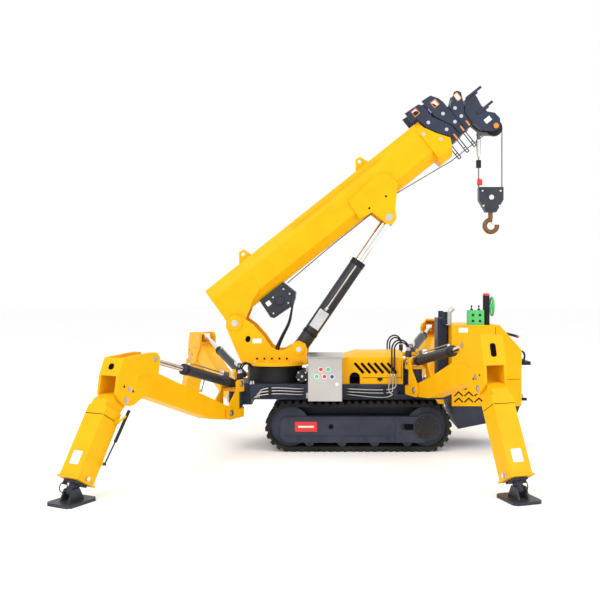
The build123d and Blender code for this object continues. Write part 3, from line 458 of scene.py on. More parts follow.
for leg in LEGS:
    name = leg.name
    end = ARM_LEN[leg.end]
    top = KNEE_TOP[leg.end]
    length = LEG_LEN[leg.end]
    # Pin caps on the swing bracket
    caps = Piece("bracket_pins_" + name, "bracket_" + name, SILVER)
    for r, z in (leg.pin, leg.base):
        for s in (-1, 1):
            washer = leg.p(r, z, s * BRACKET_WASHER)
            caps.rod(leg.p(r, z, s * BRACKET_FACE), washer, BRACKET_WASHER_R, 28)
            caps.rod(washer, leg.p(r, z, s * BRACKET_NUT), BRACKET_NUT_R, 6)
    caps.done()
    # Knee bolts, rod pin caps, and painted shade for the small holes and the opening in the knee's end
    # plate
    bolts = Piece("knee_bolts_" + name, "arm_" + name, SILVER)
    eye_a, eye_b = end - EYE_BACK[leg.end], EYE_UP[leg.end]
    knee_bolts = (
        (end, 0, KNEE_BOLT_R),
        (end + STOP_BOLT[0], STOP_BOLT[1], STOP_BOLT_R),
        (eye_a, eye_b, EYE_BOLT_R),
    )
    for a, b, r in knee_bolts:
        for s in (-1, 1):
            washer = leg.arm(a, b, s * KNEE_WASHER)
            bolts.rod(leg.arm(a, b, s * KNEE_HALF), washer, r, 24)
            bolts.rod(washer, leg.arm(a, b, s * KNEE_NUT), NUT_SHARE * r, 6)
    bolts.done()
    # Painted shade: thin near-black discs and a rounded slot stand in for the shaded inside of the holes
    # and the opening.
    hole_shade = Piece("knee_holes_" + name, "arm_" + name, OPENING_SHADE_AND_SEAMS)
    for a, b in KNEE_HOLES:
        for s in (-1, 1):
            rim = leg.arm(end + a, b, s * KNEE_HALF)
            hole_shade.rod(rim, leg.arm(end + a, b, s * (KNEE_HALF + 1.5)), KNEE_HOLE_R, 16)
    face_a = leg.arm(end + KNEE_FACE_TOP, top)
    face_b = leg.arm(end + KNEE_FACE_LOW[0], KNEE_FACE_LOW[1])
    along = face_b - face_a
    out = leg.n.cross(along).normalized()
    if out.dot(leg.d) < 0:
        out = -out
    slot = (SLOT_TALL[leg.end], SLOT_WIDE, 3)
    hole_shade.slab((face_a + face_b) / 2 + out * 0.001, along, out, slot, 16)
    hole_shade.done()
    welds = Piece("knee_welds_" + name, "arm_" + name, YELLOW)
    for s in (-1, 1):
        bead = []
        for i in range(6):
            sag = WELD_SAG * (i - 1) ** 2
            bead.append(leg.arm(end - WELD_BACK + WELD_STEP * i, WELD_UP - sag, s * (KNEE_HALF + 1)))
        for p, q in zip(bead, bead[1:]):
            welds.rod(p, q, WELD_R, 12)
    welds.done()
    # Lower leg: blank plate, seam, lock pin with its loop, and a folding strut beside the front legs
    down = leg.low(1, 0) - leg.low(0, 0)
    outward = leg.low(0, 1) - leg.low(0, 0)
    outer = LEG_OFFSET + LEG_HALF
    inner = LEG_OFFSET - LEG_HALF
    plates = Piece("blank_plates_" + name, "lower_" + name, WHITE)
    plates.slab(leg.low(length - LABEL_RISE, outer + 1), down, outward, LEG_LABEL, 6)
    plates.done()
    seam = Piece("leg_seam_" + name, "lower_" + name, OPENING_SHADE_AND_SEAMS)
    for s in (-1, 1):
        side = leg.low(SEAM_DOWN, LEG_OFFSET, s * (LEG_HALF + 0.5))
        seam.box(side, down, leg.n, (4, SEAM_WIDE, 2))
    seam.box(leg.low(SEAM_DOWN, outer + 0.5), down, outward, (4, SEAM_WIDE, 2))
    seam.done()
    pins = Piece("lock_pin_" + name, "lower_" + name, CHROME)
    lock = length - LOCK_RISE
    pins.rod(leg.low(lock, LEG_OFFSET, -LOCK_OUT), leg.low(lock, LEG_OFFSET, LOCK_OUT), LOCK_R)
    pins.ring(leg.low(lock, LEG_OFFSET + 18, 4 - LOCK_OUT), leg.n, LOCK_LOOP_R, 3, 24)
    pins.done()
    if leg.end == "front":
        near = 1 if leg.n.y * leg.at.y > 0 else -1

        def beside(at, y=STRUT_Y):
            """A point of the strut: down the leg, out from its inner face, and beside it."""
            return leg.low(at[0], inner + at[1], near * y)

        strut = Piece("fold_strut_" + name, "lower_" + name, BLACK)
        strut.rod(beside(STRUT_TOP), beside(STRUT_MID), STRUT_R)
        nose = beside((STRUT_MID[0] + 12, STRUT_MID[1] + 1))
        strut.rod(beside(STRUT_MID), nose, STRUT_NOSE_R, 20, STRUT_ROD_R + 3)
        strut.done()
        shaft = Piece("fold_strut_rod_" + name, "lower_" + name, IRON)
        shaft.rod(beside(STRUT_MID), beside(STRUT_END), STRUT_ROD_R)
        eye_far, eye_near = beside(STRUT_END, y=STRUT_Y - 10), beside(STRUT_END, y=STRUT_Y + 6)
        shaft.rod(eye_far, eye_near, STRUT_EYE_R, 16)
        shaft.done()
        lugs = Piece("strut_lugs_" + name, "lower_" + name, YELLOW)
        lugs.box(beside(STRUT_LUG, y=STRUT_Y - 18), down, outward, (34, 44, 16))
        lugs.rod(beside(STRUT_LUG), beside(STRUT_HOLD), 8, 12)
        lugs.box(beside((STRUT_END[0], STRUT_END[1] + 4), y=STRUT_Y - 22), down, outward, (24, 32, 22))
        lugs.done(bevel=2)
    loop = Piece("foot_loop_" + name, "lower_" + name, BLACK)
    loop.ring(leg.low(length - 2, outer + 4), leg.n, FOOT_LOOP_R, 4, 28)
    loop.box(leg.low(length - 34, outer + 6), down, outward, (26, 30, 16))
    loop.done()
    # Fittings, gland and steel pipe on the lift barrel
    cyl = leg.cyl
    ports = Piece("barrel_ports_" + name, "barrel_" + name, SILVER)
    for a in (PORT_LOW, PORT_HIGH):
        ports.rod(cyl(a, 40), cyl(a, PORT_RISE), 13, 12)
    ports.box(cyl(*LEG_VALVE_AT), cyl(1, 0) - cyl(0, 0), cyl(0, 1) - cyl(0, 0), LEG_VALVE)
    ports.done(bevel=2)
    gland = Piece("barrel_gland_" + name, "barrel_" + name, BLACK)
    barrel_end = cyl(LEG_BARREL_LEN, 0)
    gland.tube(cyl(LEG_BARREL_LEN - LEG_GLAND, 0), barrel_end, LEG_BARREL_R + 4, LEG_BARREL_R - 1)
    gland.tube(cyl(LEG_BAND[0], 0), cyl(LEG_BAND[1], 0), LEG_BARREL_R + 3, LEG_BARREL_R - 1)
    gland.done()
    route = [
        cyl(PORT_HIGH, 60),
        cyl(PORT_HIGH - 60, 62, 6),
        cyl(PORT_LOW + 180, 62, 6),
        cyl(PORT_LOW + 100, 62),
    ]
    hose("barrel_pipe_" + name, "barrel_" + name, route, PIPE_R, STEEL)

# Chassis: steel pipes in two runs along each side, with clamps
PIPE_Z, PIPE_PITCH, PIPE_STAGGER = 552, 26, 22
PIPE_OUT, PIPE_IN = BEAM_HALF + 16, BEAM_HALF - 8
FRONT_PIPE_X = (-900, -890, -850, -510, -482)
REAR_PIPE_X = (-116, -90, 310, 338, 344)
PIPE_FOOT_Z, PIPE_HEAD_Z = 470, 655
CLAMP_X = (-800, -560, -20, 240)
for s, tag in SIDES:
    y = s * PIPE_OUT
    inside = s * PIPE_IN
    for i in range(3):
        z = PIPE_Z - PIPE_PITCH * i
        x = FRONT_PIPE_X
        lag = PIPE_STAGGER * i
        low = R(x[0] - lag, y, PIPE_FOOT_Z)
        route = [low, R(x[1] - lag, y, z - 22), R(x[2], y, z), R(x[3], y, z), R(x[4], inside, z)]
        hose("front_pipe_%s_%d" % (tag, i), "machine", route, PIPE_R, STEEL)
        x = REAR_PIPE_X
        lag = PIPE_PITCH * i
        high = R(x[4] - lag, y, PIPE_HEAD_Z)
        route = [R(x[0], inside, z), R(x[1], y, z), R(x[2], y, z), R(x[3] - lag, y, z + 20), high]
        hose("rear_pipe_%s_%d" % (tag, i), "machine", route, PIPE_R, STEEL)
    clamps = Piece("pipe_clamps_" + tag, "machine", BLACK)
    for x in CLAMP_X:
        clamps.box(R(x, s * (BEAM_HALF + 13), PIPE_Z - PIPE_PITCH), X, Z, (30, 26, 86))
    clamps.done(bevel=2)
    flange = Piece("beam_flange_" + tag, "machine", GREY)
    middle = R((BEAM_X0 + BEAM_X1) / 2, s * (BEAM_HALF + 6), BEAM_Z0 + 8)
    flange.box(middle, X, Z, (BEAM_X1 - BEAM_X0 - 60, 12, 16))
    flange.done()

# Track frames: bolts, sign plate, motor cover, round opening and rounded opening with painted shade
# inside, raised panel
FRAME_BOLT_X0, FRAME_BOLT_PITCH, FRAME_BOLT_Z = -550, 204, 112
MOTOR_BOLTS, MOTOR_BOLT_R, MOTOR_COVER_R = 8, 90, 112
SIGN_X, SIGN_Z, SIGN_SIZE = -470, 223, (197, 3, 89)
PORT_X, PORT_Z, PORT_R = -246, 223, 22
PLATE_BOLT_X, PLATE_BOLT_Z = (370, 530), (160, 285)
RIB_X, RIB_LEN, RIBS = -52, 1230, ((300, 12), (140, 8))
for s, tag in SIDES:
    y = s * FRAME_Y
    bolts = Piece("frame_bolts_" + tag, "machine", IRON)
    for i in range(5):
        x = FRAME_BOLT_X0 + FRAME_BOLT_PITCH * i
        bolts.rod(R(x, y, FRAME_BOLT_Z), R(x, y + s * 8, FRAME_BOLT_Z), 10, 6)
    cap_y = s * (MOTOR_Y + 4)
    for i in range(MOTOR_BOLTS):
        a = 2 * math.pi * (i + 0.5) / MOTOR_BOLTS
        q = R(WHEEL_X + MOTOR_BOLT_R * math.cos(a), cap_y, WHEEL_Z + MOTOR_BOLT_R * math.sin(a))
        bolts.rod(q, q + Y * (s * 0.004), 9, 6)
    for x in PLATE_BOLT_X:
        for z in PLATE_BOLT_Z:
            bolts.rod(R(x, s * (FRAME_Y + 8), z), R(x, s * (FRAME_Y + 15), z), 9, 6)
    bolts.done()
    cover = Piece("drive_motor_" + tag, "machine", BLACK)
    cover.rod(R(WHEEL_X, s * MOTOR_Y, WHEEL_Z), R(WHEEL_X, cap_y, WHEEL_Z), MOTOR_COVER_R, 40)
    cover.rod(R(WHEEL_X, cap_y, WHEEL_Z), R(WHEEL_X, s * (MOTOR_Y + 6), WHEEL_Z), 62, 40, 54)
    cover.done()
    sign = Piece("frame_sign_" + tag, "machine", RED)
    sign.box(R(SIGN_X, y + s * 1.5, SIGN_Z), X, Z, SIGN_SIZE)
    sign.done()
    stripe = Piece("frame_sign_stripe_" + tag, "machine", WHITE)
    stripe.box(R(SIGN_X, y + s * 3.5, SIGN_Z), X, Z, (140, 2, 16))
    stripe.done()
    # Painted shade: a near-black disc and a rounded patch stand in for the shaded inside of the openings.
    opening_shade = Piece("frame_opening_" + tag, "machine", OPENING_SHADE_AND_SEAMS)
    opening_shade.rod(R(PORT_X, y, PORT_Z), R(PORT_X, y + s * 2, PORT_Z), PORT_R, 24)
    opening_shade.slab(R(WHEEL_X - 165, y + s * 2, WHEEL_Z), X, Y, (84, 50, 3), 24)
    opening_shade.done()
    lip = Piece("frame_opening_lip_" + tag, "machine", GREY)
    lip.tube(R(PORT_X, y, PORT_Z), R(PORT_X, y + s * 5, PORT_Z), PORT_R + 7, PORT_R)
    for z, tall in RIBS:
        lip.box(R(RIB_X, y + s * 3, z), X, Z, (RIB_LEN, 6, tall))
    lip.done()

# Engine hood: painted shade in the slanted louvres and the round-topped arch, louvre lips, seam, latch
LOUVRES, LOUVRE_X0, LOUVRE_PITCH, LOUVRE_RUN = 6, -32, 60, 83
LOUVRE_Z0, LOUVRE_Z1, LOUVRE_WIDE, LOUVRE_LIP = 692, 784, 24, 8
ARCH_X, ARCH_Z, ARCH_HALF, ARCH_LEG = -30, 652, 47, 58
HOOD_SEAMS = (((215, 650), (360, 2, 4)), ((395, 720), (3, 2, 180)))
LATCH_X, LATCH_Z = 200, 640
for s, tag in SIDES:
    y = s * (HOOD_HALF + 0.5)
    # Painted shade: near-black strips stand in for the shaded openings of the louvres.
    louvre_shade = Piece("hood_louvres_" + tag, "machine", OPENING_SHADE_AND_SEAMS)
    lips = Piece("hood_louvre_lips_" + tag, "machine", YELLOW)
    shift = X * 0.016 + Z * 0.010 + Y * (s * 0.003)
    for i in range(LOUVRES):
        x = LOUVRE_X0 + LOUVRE_PITCH * i
        high, low = R(x, y, LOUVRE_Z1), R(x + LOUVRE_RUN, y, LOUVRE_Z0)
        long = (high - low).length * 1000
        louvre_shade.box((low + high) / 2, high - low, Y, (long, LOUVRE_WIDE, 4))
        lips.box((low + high) / 2 + shift, high - low, Y, (long, LOUVRE_LIP, 10))
    louvre_shade.done(bevel=2)
    lips.done(bevel=2)
    # Painted shade: a near-black arch stands in for the shaded opening.
    arch_shade = Piece("hood_arch_" + tag, "machine", OPENING_SHADE_AND_SEAMS)
    arch_shade.box(R(ARCH_X, y, ARCH_Z - 28), X, Z, (2 * ARCH_HALF, 4, ARCH_LEG))
    arch_shade.rod(R(ARCH_X, y - 2, ARCH_Z), R(ARCH_X, y + 2, ARCH_Z), ARCH_HALF, 32)
    arch_shade.done()
    seam = Piece("hood_seam_" + tag, "machine", OPENING_SHADE_AND_SEAMS)
    for (x, z), size in HOOD_SEAMS:
        seam.box(R(x, y, z), X, Z, size)
    seam.done()
    latch = Piece("hood_latch_" + tag, "machine", BLACK)
    latch.box(R(LATCH_X, y + s * 5, LATCH_Z), X, Z, (46, 12, 22))
    latch.rod(R(LATCH_X, y, LATCH_Z - 15), R(LATCH_X, y + s * 8, LATCH_Z - 15), 9, 16)
    latch.done(bevel=2)

# Rear control box: painted shade in the chevron slots, seams, label, hinges; levers, dials, handle, tow
# ring
CHEVRON_ROWS, CHEVRONS = 3, 3
CHEVRON_X0, CHEVRON_Z0, CHEVRON_PITCH, CHEVRON_STEP = BOX_X0 + 62, 450, 92, 56
CHEVRON_RUN, CHEVRON_RISE, CHEVRON_WIDE = 37, 18, 12
LABEL_SIZE, LABEL_ROUND = (84, 44, 3), 6
BOX_SEAMS = (((1168, 640), (600, 2, 4)), ((1250, 880), (4, 2, 470)))
BOX_LABEL = (956, 1085)
HINGE_X, HINGE_Z, HINGE_HALF = 1262, (720, 1000), 30
for s, tag in SIDES:
    y = s * (BOX_HALF + 0.5)
    # Painted shade: near-black bars stand in for the shaded inside of the chevron slots.
    chevron_shade = Piece("box_chevrons_" + tag, "machine", OPENING_SHADE_AND_SEAMS)
    for row in range(CHEVRON_ROWS):
        for i in range(CHEVRONS):
            x, z = CHEVRON_X0 + CHEVRON_PITCH * i, CHEVRON_Z0 + CHEVRON_STEP * row
            for k in (-1, 1):
                low, high = R(x + CHEVRON_RUN * k, y, z - CHEVRON_RISE), R(x, y, z + CHEVRON_RISE)
                long = (high - low).length * 1000 + 6
                chevron_shade.box((low + high) / 2, high - low, Y, (long, CHEVRON_WIDE, 4))
    chevron_shade.done(bevel=2)
    seams = Piece("box_seams_" + tag, "machine", OPENING_SHADE_AND_SEAMS)
    for (x, z), size in BOX_SEAMS:
        seams.box(R(x, y, z), X, Z, size)
    seams.done()
    label = Piece("box_label_" + tag, "machine", WHITE)
    label.slab(R(BOX_LABEL[0], y + s, BOX_LABEL[1]), X, Y, LABEL_SIZE, LABEL_ROUND)
    label.done()
    hinges = Piece("box_hinges_" + tag, "machine", SILVER)
    for z in HINGE_Z:
        low, high = R(HINGE_X, y + s * 5, z - HINGE_HALF), R(HINGE_X, y + s * 5, z + HINGE_HALF)
        hinges.rod(low, high, 7, 12)
    hinges.done()
slope_a, slope_b = R(SLOPE_X0, 0, BOX_Z1), R(BOX_X1, 0, SLOPE_Z1)
slope = (slope_b - slope_a).normalized()
normal = Y.cross(slope).normalized()
if normal.z < 0:
    normal = -normal
LEVERS, LEVER_PITCH, LEVER_PLACE, LEVER_KNOB_R = 7, 72, 0.66, 15
DIALS, DIAL_PITCH, DIAL_Y0, DIAL_PLACE, DIAL_R = 3, 110, -120, 0.26, 27
PANEL_SIZE = (240, 500, 6)
fall = slope_b - slope_a
panel = Piece("lever_panel", "machine", BLACK)
panel.box(slope_a + fall * 0.5 + normal * 0.003, slope, normal, PANEL_SIZE)
panel.done(bevel=2)
sticks = Piece("lever_sticks", "machine", CHROME)
knobs = Piece("lever_knobs", "machine", BLACK)
red_knob = Piece("red_knob", "machine", RED)
for i in range(LEVERS):
    foot = slope_a + fall * LEVER_PLACE + Y * (LEVER_PITCH * (i - (LEVERS - 1) / 2) / 1000)
    tip = foot + normal * 0.060 + X * 0.008
    sticks.rod(foot, tip, 5, 10)
    (red_knob if i == 0 else knobs).ball(tip, LEVER_KNOB_R)
sticks.done()
knobs.done()
red_knob.done()
dials = Piece("dials", "machine", WHITE)
rims = Piece("dial_rims", "machine", CHROME)
for i in range(DIALS):
    c = slope_a + fall * DIAL_PLACE + Y * ((DIAL_PITCH * i + DIAL_Y0) / 1000)
    dials.rod(c, c + normal * 0.009, DIAL_R, 28)
    rims.tube(c, c + normal * 0.012, DIAL_R + 5, DIAL_R)
dials.done()
rims.done()
HANDLE_Y, HANDLE_R = -190, 9
HANDLE_XZ = ((0, 885), (45, 875), (50, 800), (40, 786))
grip = [R(BOX_X1 + x, HANDLE_Y, z) for x, z in HANDLE_XZ]
hose("grab_handle", "machine", grip, HANDLE_R, BLACK)
TOW_Z, TOW_R = 440, 42
tow = Piece("tow_ring", "machine", SILVER)
tow.ring(R(BOX_X1 + 45, 0, TOW_Z), Y, TOW_R, 9)
tow.box(R(BOX_X1 + 8, 0, TOW_Z), X, Z, (20, 60, 60))
tow.done()

# Console: hand wheel, column with its stop button, knobs and sticks
HAND_X, HAND_Z, HAND_R, SPOKES, SPOKE_LEN = 1232, 1300, 82, 3, 80
COLUMN_X, COLUMN_Z1, COLUMN_R, COLUMN_BORE = 1180, 1400, 31, 27
KNOB_X, KNOB_Z = (1048, 1112), (1222, 1168)
STICK_X = (1045, 1112)
wheel = Piece("hand_wheel", "machine", GREEN)
hub = R(HAND_X, CONSOLE_Y, HAND_Z)
wheel.ring(hub, X, HAND_R, 10)
for i in range(SPOKES):
    a = 2 * math.pi * i / SPOKES
    rim = R(HAND_X, CONSOLE_Y + SPOKE_LEN * math.cos(a), HAND_Z + SPOKE_LEN * math.sin(a))
    wheel.rod(hub, rim, 6, 10)
wheel.rod(R(HAND_X - 32, CONSOLE_Y, HAND_Z), R(HAND_X + 8, CONSOLE_Y, HAND_Z), 16, 20)
wheel.done()
sleeve = Piece("column_sleeve", "machine", BLACK)
sleeve.tube(R(COLUMN_X, CONSOLE_Y, BOX_Z1 + 1), R(COLUMN_X, CONSOLE_Y, COLUMN_Z1), COLUMN_R, COLUMN_BORE)
sleeve.rod(R(COLUMN_X, CONSOLE_Y, HAND_Z), R(COLUMN_X + 24, CONSOLE_Y, HAND_Z), 22, 20)
sleeve.done()
stop = Piece("stop_button", "machine", RED)
stop.rod(R(COLUMN_X, CONSOLE_Y, COLUMN_Z1), R(COLUMN_X, CONSOLE_Y, COLUMN_Z1 + 20), 34, 24, 26)
stop.done()
knobs = Piece("console_knobs", "machine", BLACK)
for z in KNOB_Z:
    for x in KNOB_X:
        q = R(x, CONSOLE_Y - CONSOLE_HALF, z)
        knobs.rod(q + Y * 0.002, q - Y * 0.009, 12, 20, 10)
for x in STICK_X:
    q = R(x, CONSOLE_Y, CONSOLE_Z1)
    knobs.rod(q - Z * 0.002, q + Z * 0.012, 16, 24, 11)
    knobs.rod(q + Z * 0.010, q + Z * 0.034, 5, 12)
    knobs.ball(q + Z * 0.036, 9)
knobs.done()

# Exhaust beside the boom rest
EXHAUST_X, EXHAUST_Y, EXHAUST_Z, EXHAUST_R, EXHAUST_BORE = 845, -205, 1250, 20, 17
exhaust = Piece("exhaust", "machine", STEEL)
foot_low, foot, foot_high, bend_low, bend = (
    R(EXHAUST_X, EXHAUST_Y, z) for z in (BOX_Z1 - 2, BOX_Z1, BOX_Z1 + 6, EXHAUST_Z - 4, EXHAUST_Z)
)
mouth = R(EXHAUST_X + 35, EXHAUST_Y, EXHAUST_Z + 35)
exhaust.tube(foot, bend, EXHAUST_R, EXHAUST_BORE, 28)
exhaust.tube(bend_low, mouth, EXHAUST_R, EXHAUST_BORE, 28)
exhaust.rod(foot_low, foot_high, 34, 28)
exhaust.done()

# Switch cabinet: buttons and lock ride the door
BUTTONS = ((-335, 745, RED), (-270, 745, GREEN), (-373, 682, GREEN), (-304, 682, RED), (-236, 680, BLUE))
BUTTON_R, BEZEL_R, LOCK_XZ = 17, 23, (-192, 615)
buttons = {}
bezels = Piece("cabinet_bezels", "door", CHROME)
for x, z, mat in BUTTONS:
    key = mat.name
    if key not in buttons:
        buttons[key] = Piece("cabinet_buttons_" + key.split()[0], "door", mat)
    buttons[key].rod(R(x, DOOR_Y, z), R(x, DOOR_Y - 17, z), BUTTON_R, 24, BUTTON_R - 2)
    bezels.tube(R(x, DOOR_Y, z), R(x, DOOR_Y - 7, z), BEZEL_R, BUTTON_R)
for piece in buttons.values():
    piece.done()
bezels.rod(R(LOCK_XZ[0], DOOR_Y, LOCK_XZ[1]), R(LOCK_XZ[0], DOOR_Y - 10, LOCK_XZ[1]), 15, 20)
bezels.done()

# Turret: bolts, caps, label; painted shade in the oblong hole and the bolt holes along the cheeks
TABLE_BOLTS, TABLE_BOLT_R, TABLE_TOP = 6, 300, 787
TABLE_BOLT_STEP, TABLE_BOLT_FROM = 22, {-1: 215, 1: 35}
FOOT_BOSS_R, FOOT_CAP_R, BASE_BOSS_R, BASE_CAP_R = 70, 30, 52, 24
CHEEK_HOLES, CHEEK_HOLE_X0, CHEEK_HOLE_PITCH, CHEEK_HOLE_Z = 5, -932, 69, 815
OBLONG_XZ, TURRET_LABEL = (-1016, 996), (-932, 978)
for s, tag in SIDES:
    y = s * CHEEK_Y
    foot, base = R(FOOT_X, y, FOOT_Z), R(LIFT_BASE[0], y, LIFT_BASE[1])
    bits = Piece("turret_bolts_" + tag, "turret", SILVER)
    for i in range(TABLE_BOLTS):
        a = math.radians(TABLE_BOLT_FROM[s] + TABLE_BOLT_STEP * i)
        q = R(SLEW_X + TABLE_BOLT_R * math.cos(a), TABLE_BOLT_R * math.sin(a), TABLE_TOP)
        bits.rod(q, q + Z * 0.014, 12, 6)
    bits.rod(foot, foot + Y * (s * 0.014), FOOT_CAP_R, 28)
    bits.rod(base, base + Y * (s * 0.012), BASE_CAP_R, 28)
    bits.done()
    boss = Piece("turret_bosses_" + tag, "turret", YELLOW)
    boss.rod(foot, foot + Y * (s * 0.008), FOOT_BOSS_R, 40)
    boss.rod(base, base + Y * (s * 0.007), BASE_BOSS_R, 40)
    boss.done(bevel=2)
    label = Piece("turret_label_" + tag, "turret", WHITE)
    label.slab(R(TURRET_LABEL[0], y + s * 1.5, TURRET_LABEL[1]), X, Y, LABEL_SIZE, LABEL_ROUND)
    label.done()
    # Painted shade: near-black slab and discs stand in for the shaded inside of the oblong hole and the
    # bolt holes.
    dark = Piece("turret_holes_" + tag, "turret", OPENING_SHADE_AND_SEAMS)
    dark.slab(R(OBLONG_XZ[0], y + s, OBLONG_XZ[1]), X * 0.25 + Z, Y, (58, 44, 3), 20)
    for i in range(CHEEK_HOLES):
        q = R(CHEEK_HOLE_X0 + CHEEK_HOLE_PITCH * i, y, CHEEK_HOLE_Z)
        dark.rod(q, q + Y * (s * 0.002), 10, 20)
    dark.done(bevel=1)

# Slew motor: flange and bolts
FLANGE_R, FLANGE_OUT, HUB_R, HUB_OUT = 62, 22, 34, 34
STUDS, STUD_RING = 4, 46
motor = Piece("slew_motor_flange", "machine", IRON)
mx, my, mz = SLEW_MOTOR
motor_face = R(mx, my - FLANGE_OUT, mz)
motor_hub = R(mx, my - HUB_OUT, mz)
motor.rod(R(mx, my, mz), motor_face, FLANGE_R, 6)
motor.rod(motor_face, motor_hub, HUB_R, 28)
motor.done(bevel=3)
studs = Piece("slew_motor_bolts", "machine", SILVER)
for i in range(STUDS):
    a = 2 * math.pi * (i + 0.5) / STUDS
    q = R(mx + STUD_RING * math.cos(a), my - FLANGE_OUT, mz + STUD_RING * math.sin(a))
    studs.rod(q, q - Y * 0.008, 8, 6)
studs.rod(motor_hub, R(mx, my - HUB_OUT - 6, mz), 12, 6)
studs.done()

# Boom base: crease strip, lift pins, painted shade in small holes; the winch's plates, bolts and labels;
# the rope
STRIP = ((960, 376), (960, 388), (2010, 388), (2010, 376))
BASE_HOLES = ((1640, 60), (1830, 50))
WINCH_PLATE = ((312, -10), (306, -150), (320, -172), (500, -182), (585, -110), (560, -10))
WINCH_BOLTS = ((330, -150), (500, -160), (562, -100), (545, -30), (420, -30))
WINCH_HUB, WINCH_LABEL = (450, -95), (352, -48)
BASE_ROPE = ((600, 0), (1190, 18.5), (1980, 18.5), (2423, -43), (2560, -64))
ROPE_R, LIFT_PIN_R, LIFT_NUT_R = 5, 34, 18
along = boom(1, 0) - boom(0, 0)
up = boom(0, 1) - boom(0, 0)
for s, tag in SIDES:
    y = s * BASE_HALF
    strip = Piece("boom_strip_" + tag, "boom", YELLOW)
    strip.poly([boom(u, v, y) for u, v in STRIP], Y * (s * 0.005))
    strip.done()
    pins = Piece("boom_pins_" + tag, "boom", SILVER)
    washer = boom(*LIFT_EYE_UV, y + s * 20)
    pins.rod(boom(*LIFT_EYE_UV, y + s * 10), washer, LIFT_PIN_R, 28)
    pins.rod(washer, boom(*LIFT_EYE_UV, y + s * 27), LIFT_NUT_R, 6)
    pins.done()
    # Painted shade: near-black discs stand in for the shaded inside of the small holes.
    dark = Piece("boom_holes_" + tag, "boom", OPENING_SHADE_AND_SEAMS)
    for u, v in BASE_HOLES:
        dark.rod(boom(u, v, y), boom(u, v, y + s * 15.5), 10, 16)
    dark.done()
winch_bits = Piece("winch_bolts", "boom", SILVER)
winch_plate = Piece("winch_plate", "boom", IRON)
winch_label = Piece("winch_label", "boom", WHITE)
for s in (-1, 1):
    y = s * WINCH_HALF
    face = y + s * 8
    winch_plate.poly([boom(u, v, y) for u, v in WINCH_PLATE], Y * (s * 0.008))
    winch_plate.rod(boom(*WINCH_HUB, face), boom(*WINCH_HUB, y + s * 20), 46, 36, 40)
    winch_label.slab(boom(*WINCH_LABEL, y + s * 9), along, Y, (44, 44, 3), 5)
    for u, v in WINCH_BOLTS:
        winch_bits.rod(boom(u, v, face), boom(u, v, y + s * 15), 9, 6)
winch_bits.done()
winch_plate.done(bevel=2)
winch_label.done()
lay = [boom(u, v, ROPE_Y) for u, v in BASE_ROPE]
hose("hoist_rope_base", "boom", lay, ROPE_R, ROPE, smooth=False)

# Boom heads: bolts, window frames, wear pads, rope guides and the rope between them
BODIES = ["boom", "section_2", "section_3", "section_4", "section_5"]
HEAD_HALF = (149, 141, 128, 115, 94)
HEAD_BOLTS = (
    ((2462, 285), (2558, 148)),
    ((2566, 342), (2659, 186)),
    ((2727, 323), (2767, 195)),
    ((2851, 295), (2850, 200)),
)
WEAR_PADS = ((2684, 84), (2782, 104), (2858, 112))
WINDOWS = (((2530, 490), (48, 52)), ((2727, 445), (48, 52)), ((2934, 365), (36, 62)))
WINDOW_RIM, PAD_SIZE = 6, (56, 15, 5)
HEAD_WASHER_R, HEAD_NUT_R, GUIDE_R = 17, 11, 5
GUIDE_U = (2560, 2642, 2741, 2830, 3040)
GUIDE_HALF, GUIDE_TOP, GUIDE_LOW, GUIDE_BAR = 18, 96, -92, -40
GUIDE_Y = (ROPE_Y - 20, ROPE_Y + 20)
ROPE_V = -64
LEAD_UV, LEAD_SPAN, LEAD_R = (3040, -52), (24, 90), 11
LEAD_FLANGE_Y, LEAD_FLANGE_R, LEAD_FLANGE = (50, 82), 17, 6
TIP_LABEL_UV = (3030, 20)
for i, body in enumerate(BODIES[:-1]):
    bolt = Piece("head_bolts_%d" % i, body, CHROME)
    for s in (-1, 1):
        half = s * HEAD_HALF[i]
        for a, b in HEAD_BOLTS[i]:
            washer = boom(a, b, half + 5 * s)
            bolt.rod(boom(a, b, half - s), washer, HEAD_WASHER_R, 24)
            bolt.rod(washer, boom(a, b, half + 12 * s), HEAD_NUT_R, 6)
    bolt.done()
    if i > 0:
        u0, u1 = GUIDE_U[i] - GUIDE_HALF, GUIDE_U[i] + GUIDE_HALF
        y0, y1 = GUIDE_Y
        guide = Piece("rope_guide_%d" % i, body, BLACK)
        corners = [
            boom(u0, GUIDE_TOP, y0),
            boom(u0, GUIDE_LOW, y0),
            boom(u1, GUIDE_LOW, y1),
            boom(u1, GUIDE_TOP, y1),
        ]
        for p, q in zip(corners, corners[1:]):
            guide.rod(p, q, GUIDE_R, 12)
        guide.rod(boom(u0, GUIDE_BAR, y0), boom(u1, GUIDE_BAR, y1), GUIDE_R, 12)
        guide.done()
        pad = Piece("wear_pads_%d" % i, body, AMBER)
        frame_edge = Piece("window_frames_%d" % i, body, AMBER)
        (wu, wv), (wide, tall) = WINDOWS[i - 1]
        for s in (-1, 1):
            half = s * (HEAD_HALF[i] + 1.5)
            pad.slab(boom(*WEAR_PADS[i - 1], half), up, Y, PAD_SIZE, 3)
            for k in (-1, 1):
                jamb = boom(wu + k * (wide + WINDOW_RIM) / 2, wv, half)
                frame_edge.box(jamb, up, Y, (tall + 2 * WINDOW_RIM, WINDOW_RIM, 4))
                sill = boom(wu, wv + k * (tall + WINDOW_RIM) / 2, half)
                frame_edge.box(sill, along, Y, (wide, WINDOW_RIM, 4))
        pad.done()
        frame_edge.done()
    a = boom(GUIDE_U[i], ROPE_V, ROPE_Y)
    b = boom(GUIDE_U[i + 1], ROPE_V, ROPE_Y if i < 3 else LEAD_Y)
    run = [a.lerp(b, k / 4) for k in range(5)]
    ends = (body, BODIES[i + 1], a, b)
    hose("hoist_rope_%d" % (i + 1), None, run, ROPE_R, ROPE, smooth=False, blend=ends)
